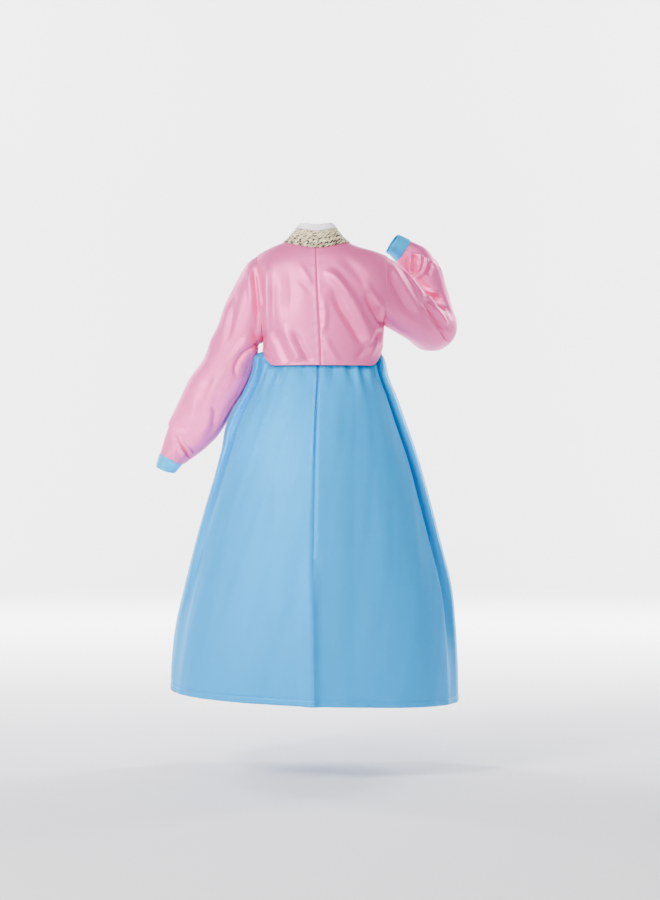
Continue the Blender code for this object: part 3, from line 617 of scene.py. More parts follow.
def tuck(shell: Shell, axis: int, last: bool, under: float = 0.0013, beyond: float = 0.0030) -> Shell:
    """Carries an edge on under the next piece as a narrow seam allowance, so no light shows through.

    Args:
        shell: The cloth.
        axis: 0 for an edge that is a row of points, 1 for one that is a column.
        last: Whether it is the last such row or column.
        under: How far the allowance lies below the edge.
        beyond: Its width.

    Returns:
        The shell.
    """
    grids = [shell.outer, shell.normals()] + ([] if shell.hint is None else [shell.hint])
    lanes = [np.moveaxis(grid, axis, 0)[:: -1 if last else 1] for grid in grids]
    edge, up = lanes[0][0], lanes[1][3]
    way = unit(edge - lanes[0][3] - up * np.sum((edge - lanes[0][3]) * up, axis=-1, keepdims=True))
    far = edge + way * beyond - up * (under + 0.0003)
    near = edge + way * 0.0005 - up * under
    lanes[0] = np.concatenate([[far, near], lanes[0]])
    if shell.hint is not None:
        lanes[2] = np.concatenate([lanes[2][:1], lanes[2][:1], lanes[2]])
        shell.hint = np.moveaxis(lanes[2][:: -1 if last else 1], 0, axis)
    shell.outer = np.moveaxis(lanes[0][:: -1 if last else 1], 0, axis)
    return shell


def press_all(shell: Shell, pressed: Iterable[Crease], limit: Points) -> Shell:
    """Presses a list of creases into a shell.

    Args:
        shell: The cloth.
        pressed: What to press in.
        limit: Share of each crease that each point takes.

    Returns:
        The shell.
    """
    normals = shell.normals()
    total = np.zeros(shell.outer.shape[:-1])
    for crease in pressed:
        total += crease.press(shell.outer, normals)
    return shell.push(total * limit)


# --- The worn form ---


@dataclass
class WornForm:
    """The general figure that the jacket is worn on."""

    plan_power: float = 2.6
    start_z: float = -0.100
    arc: float = 0.085
    swell: float = 0.020
    rise: float = 0.055
    back_hem_z: float = -0.238
    front_hem_z: float = -0.245
    hem_corner: float = 0.50
    hem_sweep: float = 1.3
    body: dict[str, Track] = field(default_factory=lambda: tracks(BODY))
    ridge: dict[str, Track] = field(default_factory=lambda: tracks(RIDGE))

    @property
    def top(self) -> float:
        """How far a point can climb from where the shoulder starts to round."""
        return self.arc * math.pi / 2

    def ridge_z(self, across: Points) -> Points:
        """Height of the shoulder line at a signed distance from the middle."""
        out = np.abs(across)
        return np.where(np.asarray(across) >= 0, self.ridge["left_z"](out), self.ridge["right_z"](out))

    def height(self, climb: Points, across: Points) -> Points:
        """Height of a point that has climbed this far up the form.

        Args:
            climb: Distance up the form.
            across: Distance from its middle line.

        Returns:
            The height.
        """
        rise = self.ridge_z(across) - self.start_z
        over = self.start_z + rise * np.sin(np.clip(climb / self.arc, 0.0, math.pi / 2))
        return np.where(np.asarray(climb) <= 0, self.start_z + climb, over)

    def climb(self, z: Points, across: Points) -> Points:
        """How far up the form a height is.

        Args:
            z: The height.
            across: Distance from the form's middle line.

        Returns:
            The distance up the form.
        """
        rise = self.ridge_z(across) - self.start_z
        over = self.arc * np.arcsin(np.clip((z - self.start_z) / rise, 0.0, 1.0))
        return np.where(np.asarray(z) <= self.start_z, z - self.start_z, over)

    def width(self, side: Side, z: Points) -> Points:
        """Half width at which the form would close, further out over the sleeve."""
        return self.body[side.name](z) + self.swell * ease((z - side.armpit_z) / self.rise)

    def depth(self, face: Face, across: Points, climb: Points) -> Points:
        """Distance of the form from its middle plane.

        Args:
            face: Back or front.
            across: Signed distance from the middle.
            climb: How far up the form.

        Returns:
            The distance, never below 0.
        """
        z = self.height(climb, across)
        full = self.body[face.name.lower()](z)
        wide = np.where(np.asarray(across) >= 0, self.width(LEFT, z), self.width(RIGHT, z))
        beside = np.minimum(1.0, np.abs(across) / wide)
        plan = (1 - beside**self.plan_power) ** (1 / self.plan_power)
        return full * plan * np.cos(np.clip(climb / self.arc, 0.0, math.pi / 2))

    def hem(self, face: Face, side: Side, turn: Points) -> Points:
        """Height of the jacket's hem: level, then rising to the side seam.

        Args:
            face: Front or back.
            side: Left or right.
            turn: 0 in the middle, 1 at the side seam.

        Returns:
            The height.
        """
        level = self.back_hem_z if face is Face.BACK else self.front_hem_z
        part = ease((turn - self.hem_corner) / (1 - self.hem_corner)) ** self.hem_sweep
        return level + (side.side_hem_z - level) * part

    def point(self, face: Face, across: Points, climb: Points) -> Points:
        """Point of the form itself.

        Args:
            face: Front or back.
            across: Distance from the middle line.
            climb: Distance up the form.

        Returns:
            The point.
        """
        z = self.height(climb, across)
        x = self.body["centre_x"](z) + across
        return np.stack(np.broadcast_arrays(x, face.value * self.depth(face, across, climb), z), axis=-1)


FORM = WornForm()


@dataclass
class BodyPanel:
    """A quarter of the jacket body, from its own edge to its side seam and armhole."""

    face: Face
    side: Side
    edge: float = 0.0
    lift: float = 0.0
    parts: int = 1
    neck_half: float = 0.061
    neck_back: float = 0.050
    neck_top_z: float = 0.004
    neck_drop: float = 1.08
    overlap_full: float = 0.046
    overlap_end: float = 0.094

    EDGE_COLUMNS = 4
    NECK_COLUMNS = 5
    SIDE_COLUMNS = 7
    ROWS = (2, 4, 6)

    def __post_init__(self) -> None:
        """Works out the marks of the columns and rows."""
        angles = subdivide(np.linspace(0.0, math.pi / 2, self.NECK_COLUMNS + 1), self.parts)
        self.neck = self.turn_of(self.neck_half * np.sin(angles))
        beside = np.linspace(self.neck[-1], 1.0, self.SIDE_COLUMNS * self.parts + 1)[1:]
        past = np.linspace(-1.0, 0.0, self.EDGE_COLUMNS * self.parts + 1)[:-1] if self.edge else []
        self.columns = np.concatenate([past, self.neck, beside])
        bottom, armpit = self.side.side_hem_z - FORM.start_z, self.side.armpit_z - FORM.start_z
        stops = ((bottom, armpit), (armpit, 0.0), (0.0, FORM.top))
        climbs = [bottom]
        for (low, high), count in zip(stops, self.ROWS):
            climbs += list(np.linspace(low, high, count * self.parts + 1))[1:]
        self.rows = (np.array(climbs) - bottom) / (FORM.top - bottom)

    def turn_of(self, across: Points) -> Points:
        """Column mark, 0 at the middle and 1 at the armhole, of a distance across the shoulder."""
        end = FORM.body[self.side.name](self.neck_top_z)
        return np.arcsin((across / end) ** (FORM.plan_power / 2)) / (math.pi / 2)

    def across(self, turn: Points, z: Points) -> Points:
        """Signed distance from the middle of a column mark at a height.

        Args:
            turn: The column mark.
            z: The height.

        Returns:
            The distance.
        """
        end = FORM.body[self.side.name](z)
        out = end * np.sin(np.clip(turn, 0.0, 1.0) * math.pi / 2) ** (2 / FORM.plan_power)
        return self.side.sign * np.where(turn < 0, turn * self.edge, out)

    def top_climb(self, turn: Points) -> Points:
        """How far up a column reaches: to the neckline, or to the shoulder seam.

        Args:
            turn: The column's mark.

        Returns:
            How far it climbs.
        """
        across = self.across(turn, self.neck_top_z)
        inward = self.side.sign * across
        if self.face is Face.FRONT:
            line = self.neck_top_z - (self.neck_half - inward) * self.neck_drop
            reach = FORM.climb(line, across)
        else:
            ahead = self.neck_back * np.sqrt(np.clip(1 - (inward / self.neck_half) ** 2, 0.0, 1.0))
            narrowing = FORM.body["back"](0.0) / FORM.body["back"](FORM.start_z)
            full = FORM.depth(Face.BACK, across, 0.0) * narrowing
            reach = FORM.arc * np.arccos(np.minimum(1.0, ahead / np.maximum(full, STEP)))
        return np.where(turn >= self.neck[-1] - STEP, FORM.top, reach)

    def overlap(self, across: Points) -> Points:
        """How far this panel stands out where it laps over the other front."""
        inward = self.side.sign * across
        return self.lift * fall(inward - self.overlap_full, self.overlap_end - self.overlap_full)

    def surface(self, turn: Points, mark: Points) -> Points:
        """Points of the outer surface at column marks and shares of the way up.

        Args:
            turn: The column's mark.
            mark: Share of the way up it.

        Returns:
            The points.
        """
        turn, mark = np.broadcast_arrays(np.asarray(turn, float), np.asarray(mark, float))
        bottom = FORM.hem(self.face, self.side, np.maximum(turn, 0.0)) - FORM.start_z
        climb = bottom + (self.top_climb(turn) - bottom) * mark
        across = self.across(turn, FORM.start_z)
        for _ in range(3):
            across = self.across(turn, FORM.height(climb, across))
        z = FORM.height(climb, across)
        over = self.overlap(across) * np.cos(np.maximum(0.0, climb) / FORM.arc)
        depth = FORM.depth(self.face, across, climb) + over
        return np.stack([FORM.body["centre_x"](z) + across, self.face.value * depth, z], axis=-1)

    def normal(self, turn: Points, mark: Points) -> Points:
        """Outward direction of the surface, by small steps along it.

        Args:
            turn: The column's mark.
            mark: Share of the way up it.

        Returns:
            The direction at each point.
        """
        lowest = self.columns[0]
        ahead, behind = np.minimum(turn + STEP, 1.0), np.maximum(turn - STEP, lowest)
        along = self.surface(ahead, mark) - self.surface(behind, mark)
        above, below = np.minimum(mark + STEP, 1.0), np.maximum(mark - STEP, 0.0)
        up = self.surface(turn, above) - self.surface(turn, below)
        return unit(np.cross(along, up)) * self.face.value * -self.side.sign

    def grid(self) -> Points:
        """All the panel's points, parted from its neighbours by half a seam.

        Returns:
            The points, row by row.
        """
        aside = 0.0 if self.edge else self.side.sign * SEAM / 2
        parted = np.array([aside, self.face.value * SEAM / 2, 0.0])
        return self.surface(self.columns[None, :], self.rows[:, None]) + parted


# --- Shader maths ---

Number = Union["Wire", float, int]


class Wire:
    """The output of a shader node. Arithmetic on it adds Math nodes."""

    def __init__(self, loom: "Loom", socket: bpy.types.NodeSocket) -> None:
        """Wraps a socket of the loom's tree."""
        self.loom = loom
        self.socket = socket

    def math(self, operation: str, *others: Number) -> "Wire":
        """Adds one Math node that reads this value first."""
        return self.loom.maths(operation, self, *others)

    def __add__(self, other: Number) -> "Wire":
        """Sum."""
        return self.loom.maths("ADD", self, other)

    def __sub__(self, other: Number) -> "Wire":
        """Difference."""
        return self.loom.maths("SUBTRACT", self, other)

    def __rsub__(self, other: Number) -> "Wire":
        """Difference the other way round."""
        return self.loom.maths("SUBTRACT", other, self)

    def __mul__(self, other: Number) -> "Wire":
        """Product."""
        return self.loom.maths("MULTIPLY", self, other)

    def __abs__(self) -> "Wire":
        """Distance from 0."""
        return self.loom.maths("ABSOLUTE", self)

    def between(self, low: float, high: float) -> "Wire":
        """Goes smoothly from 0 at low to 1 at high.

        Args:
            low: Where it is still 0.
            high: Where it is 1 at last.

        Returns:
            The smooth step.
        """
        settings = {"interpolation_type": "SMOOTHSTEP"}
        found = self.loom.node("MapRange", settings, {"Value": self, "From Min": low, "From Max": high})
        return found("Result")


class Loom:
    """The node tree of one material."""

    def __init__(self, name: str) -> None:
        """Starts a material with its shader.

        Args:
            name: The material's name.
        """
        self.material = bpy.data.materials.new(name)
        self.material.use_nodes = True
        self.tree = self.material.node_tree
        self.shader = self.tree.nodes["Principled BSDF"]

    def connect(self, value: Any, socket: bpy.types.NodeSocket) -> None:
        """Links a wire to a socket, or sets the socket to a plain value.

        Args:
            value: The wire, number or colour.
            socket: Where it goes.
        """
        if isinstance(value, Wire):
            self.tree.links.new(value.socket, socket)
        elif isinstance(value, tuple) and socket.type == "RGBA":
            socket.default_value = (*value, 1.0)
        else:
            socket.default_value = value

    def node(
        self,
        kind: str,
        settings: Optional[dict[str, Any]] = None,
        inputs: Optional[dict[Any, Any]] = None,
    ) -> Callable[[Union[str, int]], Wire]:
        """Adds any node.

        Args:
            kind: The node's type without its ShaderNode prefix.
            settings: Its properties, set before its sockets.
            inputs: The values or wires of its sockets, by name or index.

        Returns:
            A function that gives the wire of a named or numbered output.
        """
        made = self.tree.nodes.new("ShaderNode" + kind)
        for key, value in (settings or {}).items():
            setattr(made, key, value)
        for key, value in (inputs or {}).items():
            self.connect(value, made.inputs[key])
        return lambda key=0: Wire(self, made.outputs[key])

    def maths(self, operation: str, *values: Number) -> Wire:
        """Adds a Math node."""
        return self.node("Math", {"operation": operation}, dict(enumerate(values)))(0)

    def vectors(self, operation: str, *values: Any) -> Wire:
        """Adds a Vector Math node."""
        return self.node("VectorMath", {"operation": operation}, dict(enumerate(values)))(0)

    def split(self, value: Wire) -> Callable[[Union[str, int]], Wire]:
        """Parts a vector into its X, Y and Z."""
        return self.node("SeparateXYZ", {}, {0: value})

    def scaled(self, value: Wire, times: float) -> Wire:
        """Makes a vector longer or shorter."""
        return self.node("VectorMath", {"operation": "SCALE"}, {0: value, "Scale": times})(0)

    def mix(self, share: Number, first: Any, second: Any) -> Wire:
        """Goes from the first colour to the second.

        Args:
            share: How far, from 0 to 1.
            first: Colour at 0.
            second: Colour at 1.

        Returns:
            The mixed colour.
        """
        made = self.tree.nodes.new("ShaderNodeMix")
        made.data_type = "RGBA"
        for value, index in ((share, 0), (first, 6), (second, 7)):
            self.connect(value, made.inputs[index])
        return Wire(self, made.outputs[2])

    def cloth(self) -> Wire:
        """The cloth's own map, in metres across and along."""
        return self.node("UVMap", {"uv_map": "cloth"})("UV")

    def stretched(self, across: float, along: float) -> Wire:
        """The cloth's map, counted in cells of which each metre across and along has so many."""
        return self.vectors("MULTIPLY", self.cloth(), (across, along, 1.0))

    def noise(self, place: Wire, scale: float, detail: float = 2.0) -> Wire:
        """Soft uneven shading from 0 to 1."""
        inputs = {"Vector": place, "Scale": scale, "Detail": detail, "Roughness": 0.5}
        return self.node("TexNoise", {}, inputs)("Fac")

    def bump(self, height: Wire, distance: float, strength: float = 1.0) -> Wire:
        """Turns a height of 0 to 1 into a normal."""
        inputs = {"Height": height, "Distance": distance, "Strength": strength}
        return self.node("Bump", {}, inputs)("Normal")

    def weave(self, threads: float) -> Wire:
        """A satin weave: long floats of the warp over fine weft, as a height of 0 to 1.

        Args:
            threads: Threads in each metre.

        Returns:
            The height.
        """
        parts = self.split(self.cloth())
        warp = (parts("X") * (threads * 2 * math.pi)).math("SINE") * 0.5 + 0.5
        step = (parts("X") * threads).math("FLOOR") * 0.4
        weft = ((parts("Y") * (threads / 5) + step) * (2 * math.pi)).math("SINE").between(0.78, 1.0)
        return warp * (1 - weft * 0.8)

    def finish(self, **sockets: Any) -> Cloth:
        """Sets the shader's sockets, named with underscores for spaces, and gives the material.

        Args:
            sockets: Wires and values, by socket.

        Returns:
            The material.
        """
        for key, value in sockets.items():
            self.connect(value, self.shader.inputs[key.replace("_", " ")])
        return self.material


@dataclass(frozen=True)
class Satin:
    """Smooth glossy satin with a fine warp, slightly uneven in tone."""

    name: str
    colour: Colour
    deep: Colour
    gloss: Colour
    roughness: float
    lustre: float = 0.30
    threads: float = 1900.0

    def make(self) -> Cloth:
        """Builds the material.

        Returns:
            The material.
        """
        loom = Loom(self.name)
        streaks = loom.noise(loom.stretched(520.0, 14.0), 1.0, 3.0)
        cloud = loom.noise(loom.stretched(9.0, 6.0), 1.0, 2.0)
        tone = (streaks - 0.5) * 0.35 + (cloud - 0.5) * 0.5 + 0.28
        weave = loom.weave(self.threads)
        height = weave * 0.5 + streaks * 0.5
        return loom.finish(
            Base_Color=loom.mix(tone, self.colour, self.deep),
            Roughness=(streaks - 0.5) * 0.10 + (cloud - 0.5) * 0.08 + self.roughness,
            Metallic=(cloud - 0.5) * 0.06 + self.lustre,
            Normal=loom.bump(height, 0.00012, 0.55),
            Specular_IOR_Level=0.38,
            Specular_Tint=self.gloss,
        )


@dataclass(frozen=True)
class Brocade:
    """Woven flowers and scrolling stems in dark thread and gold on a cream ground."""

    name: str
    ground: Colour
    gold: Colour
    dark: Colour
    cells: float = 135.0

    def make(self) -> Cloth:
        """Builds the material.

        Returns:
            The material.
        """
        loom = Loom(self.name)
        bent = loom.node("TexNoise", {}, {"Vector": loom.cloth(), "Scale": 60.0, "Detail": 1.0})("Color")
        sway = loom.scaled(loom.vectors("SUBTRACT", bent, (0.5, 0.5, 0.5)), 0.010)
        place = loom.vectors("MULTIPLY", loom.vectors("ADD", loom.cloth(), sway), (1.0, 1.0, 0.0))
        scattered = {"Vector": place, "Scale": self.cells, "Randomness": 0.55}
        cell = loom.node("TexVoronoi", {"voronoi_dimensions": "2D"}, scattered)
        scaled = loom.scaled(place, self.cells)
        centre = loom.scaled(cell("Position"), self.cells)
        offset = loom.split(loom.vectors("SUBTRACT", scaled, centre))
        angle = offset("Y").math("ARCTAN2", offset("X"))
        tint = loom.node("SeparateColor", {}, {0: cell("Color")})("Red")
        radius = cell("Distance")
        petal = (angle * 5.0 + tint * 6.0).math("SINE") * 0.075 + 0.34
        outline = 1 - abs(radius - petal).between(0.045, 0.105)
        heart = 1 - radius.between(0.13, 0.20)
        veins = (angle * 10.0 + tint * 12.0).math("SINE").between(0.55, 0.95)
        veins = veins * (1 - radius.between(0.22, 0.30))
        edges = {"voronoi_dimensions": "2D", "feature": "DISTANCE_TO_EDGE"}
        border = loom.node("TexVoronoi", edges, scattered)
        stem = 1 - border("Distance").between(0.020, 0.080)
        rings = {"Vector": place, "Scale": 120.0, "Distortion": 7.0}
        curl = loom.node("TexWave", {"wave_type": "RINGS"}, rings)
        leaf = curl("Fac").between(0.80, 0.96) * radius.between(0.34, 0.42)
        drawn = outline.math("MAXIMUM", heart).math("MAXIMUM", veins * 0.7)
        drawn = drawn.math("MAXIMUM", stem * 0.8).math("MAXIMUM", leaf * 0.75)
        patchy = loom.noise(loom.stretched(170.0, 170.0), 1.0, 2.0).between(0.34, 0.56)
        across = loom.split(loom.cloth())("X")
        crowding = (1 - across.between(0.004, 0.026)) * 0.07
        flecks = (loom.noise(loom.stretched(185.0, 185.0), 1.0, 1.0) + crowding).between(0.556, 0.594)
        inked = (drawn * (patchy * 0.60 + 0.20)).math("MAXIMUM", flecks).math("MINIMUM", 1.0)
        gilt = (1 - radius.between(0.20, 0.33)) * 0.7
        cloth = loom.mix(gilt, self.ground, self.gold)
        height = drawn * 0.7 + loom.weave(1500.0) * 0.3
        return loom.finish(
            Base_Color=loom.mix(inked, cloth, self.dark),
            Roughness=inked * 0.15 + 0.42,
            Metallic=gilt * 0.35,
            Normal=loom.bump(height, 0.00022, 0.8),
            Sheen_Weight=0.15,
        )


@dataclass(frozen=True)
class PlainCloth:
    """Matt or half-matt plain cloth with an even weave."""

    name: str
    colour: Colour
    deep: Colour
    roughness: float = 0.6
    threads: float = 1600.0

    def make(self) -> Cloth:
        """Builds the material.

        Returns:
            The material.
        """
        loom = Loom(self.name)
        parts = loom.split(loom.cloth())
        warp = (parts("X") * (self.threads * 2 * math.pi)).math("SINE")
        weft = (parts("Y") * (self.threads * 2 * math.pi)).math("SINE")
        cloud = loom.noise(loom.stretched(30.0, 30.0), 1.0, 3.0)
        return loom.finish(
            Base_Color=loom.mix(cloud * 0.6, self.colour, self.deep),
            Roughness=(cloud - 0.5) * 0.1 + self.roughness,
            Normal=loom.bump(warp * weft * 0.5 + 0.5, 0.00012, 0.6),
            Sheen_Weight=0.1,
        )


@dataclass(frozen=True)
class Thread:
    """Sewing thread, with its twist."""

    name: str
    colour: Colour

    def make(self) -> Cloth:
        """Builds the material.

        Returns:
            The material.
        """
        loom = Loom(self.name)
        place = loom.node("TexCoord")("Object")
        bands = {"Vector": place, "Scale": 900.0}
        twist = loom.node("TexWave", {"bands_direction": "DIAGONAL"}, bands)("Fac")
        deep = tuple(0.72 * part for part in self.colour)
        return loom.finish(
            Base_Color=loom.mix(twist * 0.5, self.colour, deep),
            Roughness=twist * 0.1 + 0.45,
            Normal=loom.bump(twist, 0.0001, 0.5),
        )


@dataclass(frozen=True)
class Studio:
    """Pale paper of the floor and backdrop."""

    name: str
    colour: Colour

    def make(self) -> Cloth:
        """Builds the material.

        Returns:
            The material.
        """
        loom = Loom(self.name)
        place = loom.node("TexCoord")("Object")
        parts = loom.split(place)
        radius = (parts("X") * parts("X") + parts("Y") * parts("Y")).math("SQRT")
        cloud = loom.noise(place, 0.6, 2.0)
        deep = tuple(0.55 * part for part in self.colour)
        beside = abs(parts("X")).between(2.0, 2.9) * 0.9
        ahead = parts("Y").between(1.5, 2.6) * 0.9
        share = radius.between(3.2, 5.6) + beside + ahead + cloud * 0.02
        return loom.finish(Base_Color=loom.mix(share, self.colour, deep), Roughness=cloud * 0.05 + 0.9)


def kept(finish: Any) -> Any:
    """A field that holds the material of a finish, made with its owner."""
    return field(default_factory=finish.make)


@dataclass
class Wardrobe:
    """The finished cloths, made once."""

    pink: Cloth = kept(
        Satin("pink_satin", (0.910, 0.160, 0.425), (0.850, 0.100, 0.330), (1.0, 0.72, 0.88), 0.41, 0.42)
    )
    blue: Cloth = kept(
        Satin("blue_satin", (0.000, 0.340, 0.760), (0.000, 0.270, 0.650), (0.20, 0.75, 1.0), 0.50, 0.25)
    )
    cuff: Cloth = kept(
        Satin("cuff_satin", (0.004, 0.450, 0.850), (0.002, 0.350, 0.750), (0.3, 0.85, 1.0), 0.48)
    )
    gold: Cloth = kept(
        Brocade("gold_brocade", (0.98, 0.87, 0.52), (0.84, 0.66, 0.28), (0.045, 0.022, 0.020))
    )
    white: Cloth = kept(PlainCloth("white_cloth", (0.97, 0.91, 0.99), (0.91, 0.85, 0.95)))
    blue_thread: Cloth = kept(Thread("blue_thread", (0.01, 0.28, 0.74)))
    white_thread: Cloth = kept(Thread("white_thread", (0.82, 0.80, 0.84)))


# --- Stitching ---


@dataclass
class Stitching:
    """Runs of sewing stitches, laid by Geometry Nodes along lines on the cloth."""

    spacing: float = 0.0042
    length: float = 0.0030
    radius: float = 0.00022

    def tree(self, name: str) -> bpy.types.NodeTree:
        """Builds the node tree that lays stitches along the splines of a curve.

        Args:
            name: Name of the tree.

        Returns:
            The tree, with its sizes and thread as named inputs.
        """
        tree = bpy.data.node_groups.new(name, "GeometryNodeTree")
        face = tree.interface
        face.new_socket("Geometry", in_out="INPUT", socket_type="NodeSocketGeometry")
        for label in ("Spacing", "Stitch Length", "Thread Radius"):
            face.new_socket(label, in_out="INPUT", socket_type="NodeSocketFloat")
        face.new_socket("Thread", in_out="INPUT", socket_type="NodeSocketMaterial")
        face.new_socket("Geometry", in_out="OUTPUT", socket_type="NodeSocketGeometry")

        def add(kind: str, **settings: Any) -> bpy.types.Node:
            """Adds one node with its settings.

            Args:
                kind: The node's type.
                settings: Its properties.

            Returns:
                The node.
            """
            made = tree.nodes.new(kind)
            for key, value in settings.items():
                setattr(made, key, value)
            return made

        given, result = add("NodeGroupInput"), add("NodeGroupOutput")
        points = add("GeometryNodeCurveToPoints", mode="LENGTH")
        bead = add("GeometryNodeMeshUVSphere")
        bead.inputs["Segments"].default_value = 6
        bead.inputs["Rings"].default_value = 4
        bead.inputs["Radius"].default_value = 1.0
        halved = add("ShaderNodeMath", operation="MULTIPLY")
        halved.inputs[1].default_value = 0.5
        size = add("ShaderNodeCombineXYZ")
        lay = add("GeometryNodeInstanceOnPoints")
        realise, thread = add("GeometryNodeRealizeInstances"), add("GeometryNodeSetMaterial")
        for source, out, target, into in (
            (given, "Geometry", points, "Curve"),
            (given, "Spacing", points, "Length"),
            (given, "Stitch Length", halved, 0),
            (given, "Thread Radius", size, "X"),
            (given, "Thread Radius", size, "Y"),
            (halved, 0, size, "Z"),
            (points, "Points", lay, "Points"),
            (points, "Rotation", lay, "Rotation"),
            (bead, "Mesh", lay, "Instance"),
            (size, 0, lay, "Scale"),
            (lay, 0, realise, 0),
            (realise, 0, thread, 0),
            (given, "Thread", thread, "Material"),
            (thread, 0, result, 0),
        ):
            tree.links.new(source.outputs[out], target.inputs[into])
        return tree

    def sew(self, name: str, lines: Sequence[Points], thread: Cloth) -> Piece:
        """Lays stitches along lines.

        Args:
            name: Name of the finished piece.
            lines: Each line as points in order.
            thread: The thread's material.

        Returns:
            A plain mesh of all the stitches.
        """
        curve = bpy.data.curves.new(name + "_path", "CURVE")
        curve.dimensions = "3D"
        for line in lines:
            spline = curve.splines.new("POLY")
            spline.points.add(len(line) - 1)
            places = np.concatenate([line, np.ones((len(line), 1))], axis=1)
            spline.points.foreach_set("co", places.astype(np.float32).ravel())
        path = put(name + "_path", curve)
        tree = self.tree(name + "_stitches")
        sewn = path.modifiers.new("stitches", "NODES")
        sewn.node_group = tree
        values = (self.spacing, self.length, self.radius, thread)
        sockets = [item for item in tree.interface.items_tree if item.in_out == "INPUT"][1:]
        for socket, value in zip(sockets, values):
            sewn[socket.identifier] = value
        graph = bpy.context.evaluated_depsgraph_get()
        mesh = bpy.data.meshes.new_from_object(path.evaluated_get(graph), depsgraph=graph)
        mesh.name = name
        mesh.shade_smooth()
        made = put(name, mesh)
        bpy.data.objects.remove(path, do_unlink=True)
        bpy.data.curves.remove(curve)
        bpy.data.node_groups.remove(tree)
        return made


def dress(
    piece: Piece,
    nodes: Union[str, Sequence[str]],
) -> None:
    """Puts a finished piece in the place of its solid, hides the solid and logs its face count.

    Args:
        piece: The finished piece.
        nodes: The solid, or solids, that it stands for.
    """
    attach(piece, "root")
    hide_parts(*([nodes] if isinstance(nodes, str) else nodes))
    LOG.info("%s: %d faces", piece.name, len(piece.data.polygons))


def stitch(seam: str, lines: Sequence[Points], thread: Cloth) -> None:
    """Sews stitches along the lines of one seam, which ride with the garment.

    Args:
        seam: Name of the seam.
        lines: Each line as points in order.
        thread: The thread's material.
    """
    piece = Stitching().sew(seam + "_stitches", lines, thread)
    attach(piece, "root")
    LOG.info("%s: %d faces", piece.name, len(piece.data.polygons))


# --- The jacket ---

BACK_CREASES = creases(
    Face.BACK,
    (
        ((-8, -52), (-28, -66), (-56, -98), (-82, -144), (-102, -196), (-104, -222)),
        8.4,
        14,
        18,
        (0.18, 0.20),
    ),
    (((-26, -88), (-46, -128), (-70, -166), (-94, -206)), -8.0, 14, 12, (0.28, 0.25)),
    (((-36, -20), (-66, -46), (-96, -82), (-124, -118)), -2.8, 18, 16, (0.35, 0.25)),
    (((-90, -96), (-104, -122), (-118, -142), (-130, -158)), -11.0, 9, 15, (0.45, 0.05)),
    (((-84, -66), (-106, -98), (-130, -134)), 4.2, 13, 12, (0.40, 0.20)),
    (((114, -40), (111, -84), (105, -130)), -5.5, 7, 9, (0.20, 0.20)),
    (((96, -30), (95, -90), (94, -150), (90, -216)), 4.2, 11, 12, (0.20, 0.20)),
    (((82, -60), (84, -120), (80, -190)), -2.6, 12, 14, (0.30, 0.30)),
    (((58, -34), (50, -94), (54, -152)), -3.6, 30, 26, (0.35, 0.40)),
    (((64, -156), (50, -194), (30, -234)), 5.4, 17, 17, (0.35, 0.15)),
    (((84, -166), (68, -204), (52, -238)), -4.0, 12, 12, (0.35, 0.10)),
    (((44, -170), (28, -204), (10, -236)), -3.6, 11, 11, (0.35, 0.15)),
    (((32, -40), (22, -62), (4, -88)), 2.8, 9, 9),
    (((40, -70), (20, -88), (4, -104)), -2.2, 9, 9),
    (((106, -188), (84, -172), (62, -160)), -3.2, 9, 9, (0.05, 0.55)),
    (((108, -204), (90, -216), (72, -220)), 2.2, 8, 8, (0.10, 0.55)),
    (((-128, -166), (-110, -190), (-88, -212), (-70, -232)), -4.6, 11, 12, (0.10, 0.30)),
    (((-120, -182), (-108, -208), (-98, -228)), 2.6, 8, 8, (0.10, 0.30)),
    (((-10, -96), (-16, -140), (-12, -186)), 2.2, 9, 10),
    (((-12, -176), (-24, -206), (-44, -236)), 2.6, 12, 12, (0.35, 0.15)),
)

FRONT_CREASES = creases(
    Face.FRONT,
    (((96, -150), (72, -184), (42, -222)), -3.4, 12, 12, (0.20, 0.35)),
    (((104, -60), (86, -100), (70, -140)), -3.8, 12, 14, (0.25, 0.40)),
    (((88, -46), (80, -92), (86, -140)), 2.6, 12, 12, (0.35, 0.35)),
    (((70, -160), (84, -200), (78, -240)), 2.2, 12, 12, (0.35, 0.15)),
    (((-110, -60), (-92, -104), (-76, -150)), -4.0, 14, 12, (0.25, 0.40)),
    (((-112, -150), (-90, -190), (-66, -230)), -3.4, 12, 12, (0.20, 0.35)),
    (((-92, -46), (-84, -96), (-96, -150)), 2.4, 12, 12, (0.35, 0.35)),
    (((52, -170), (58, -208), (50, -240)), -2.2, 9, 10, (0.45, 0.10)),
)

JACKET_SEAM_WIDTH = 0.0045


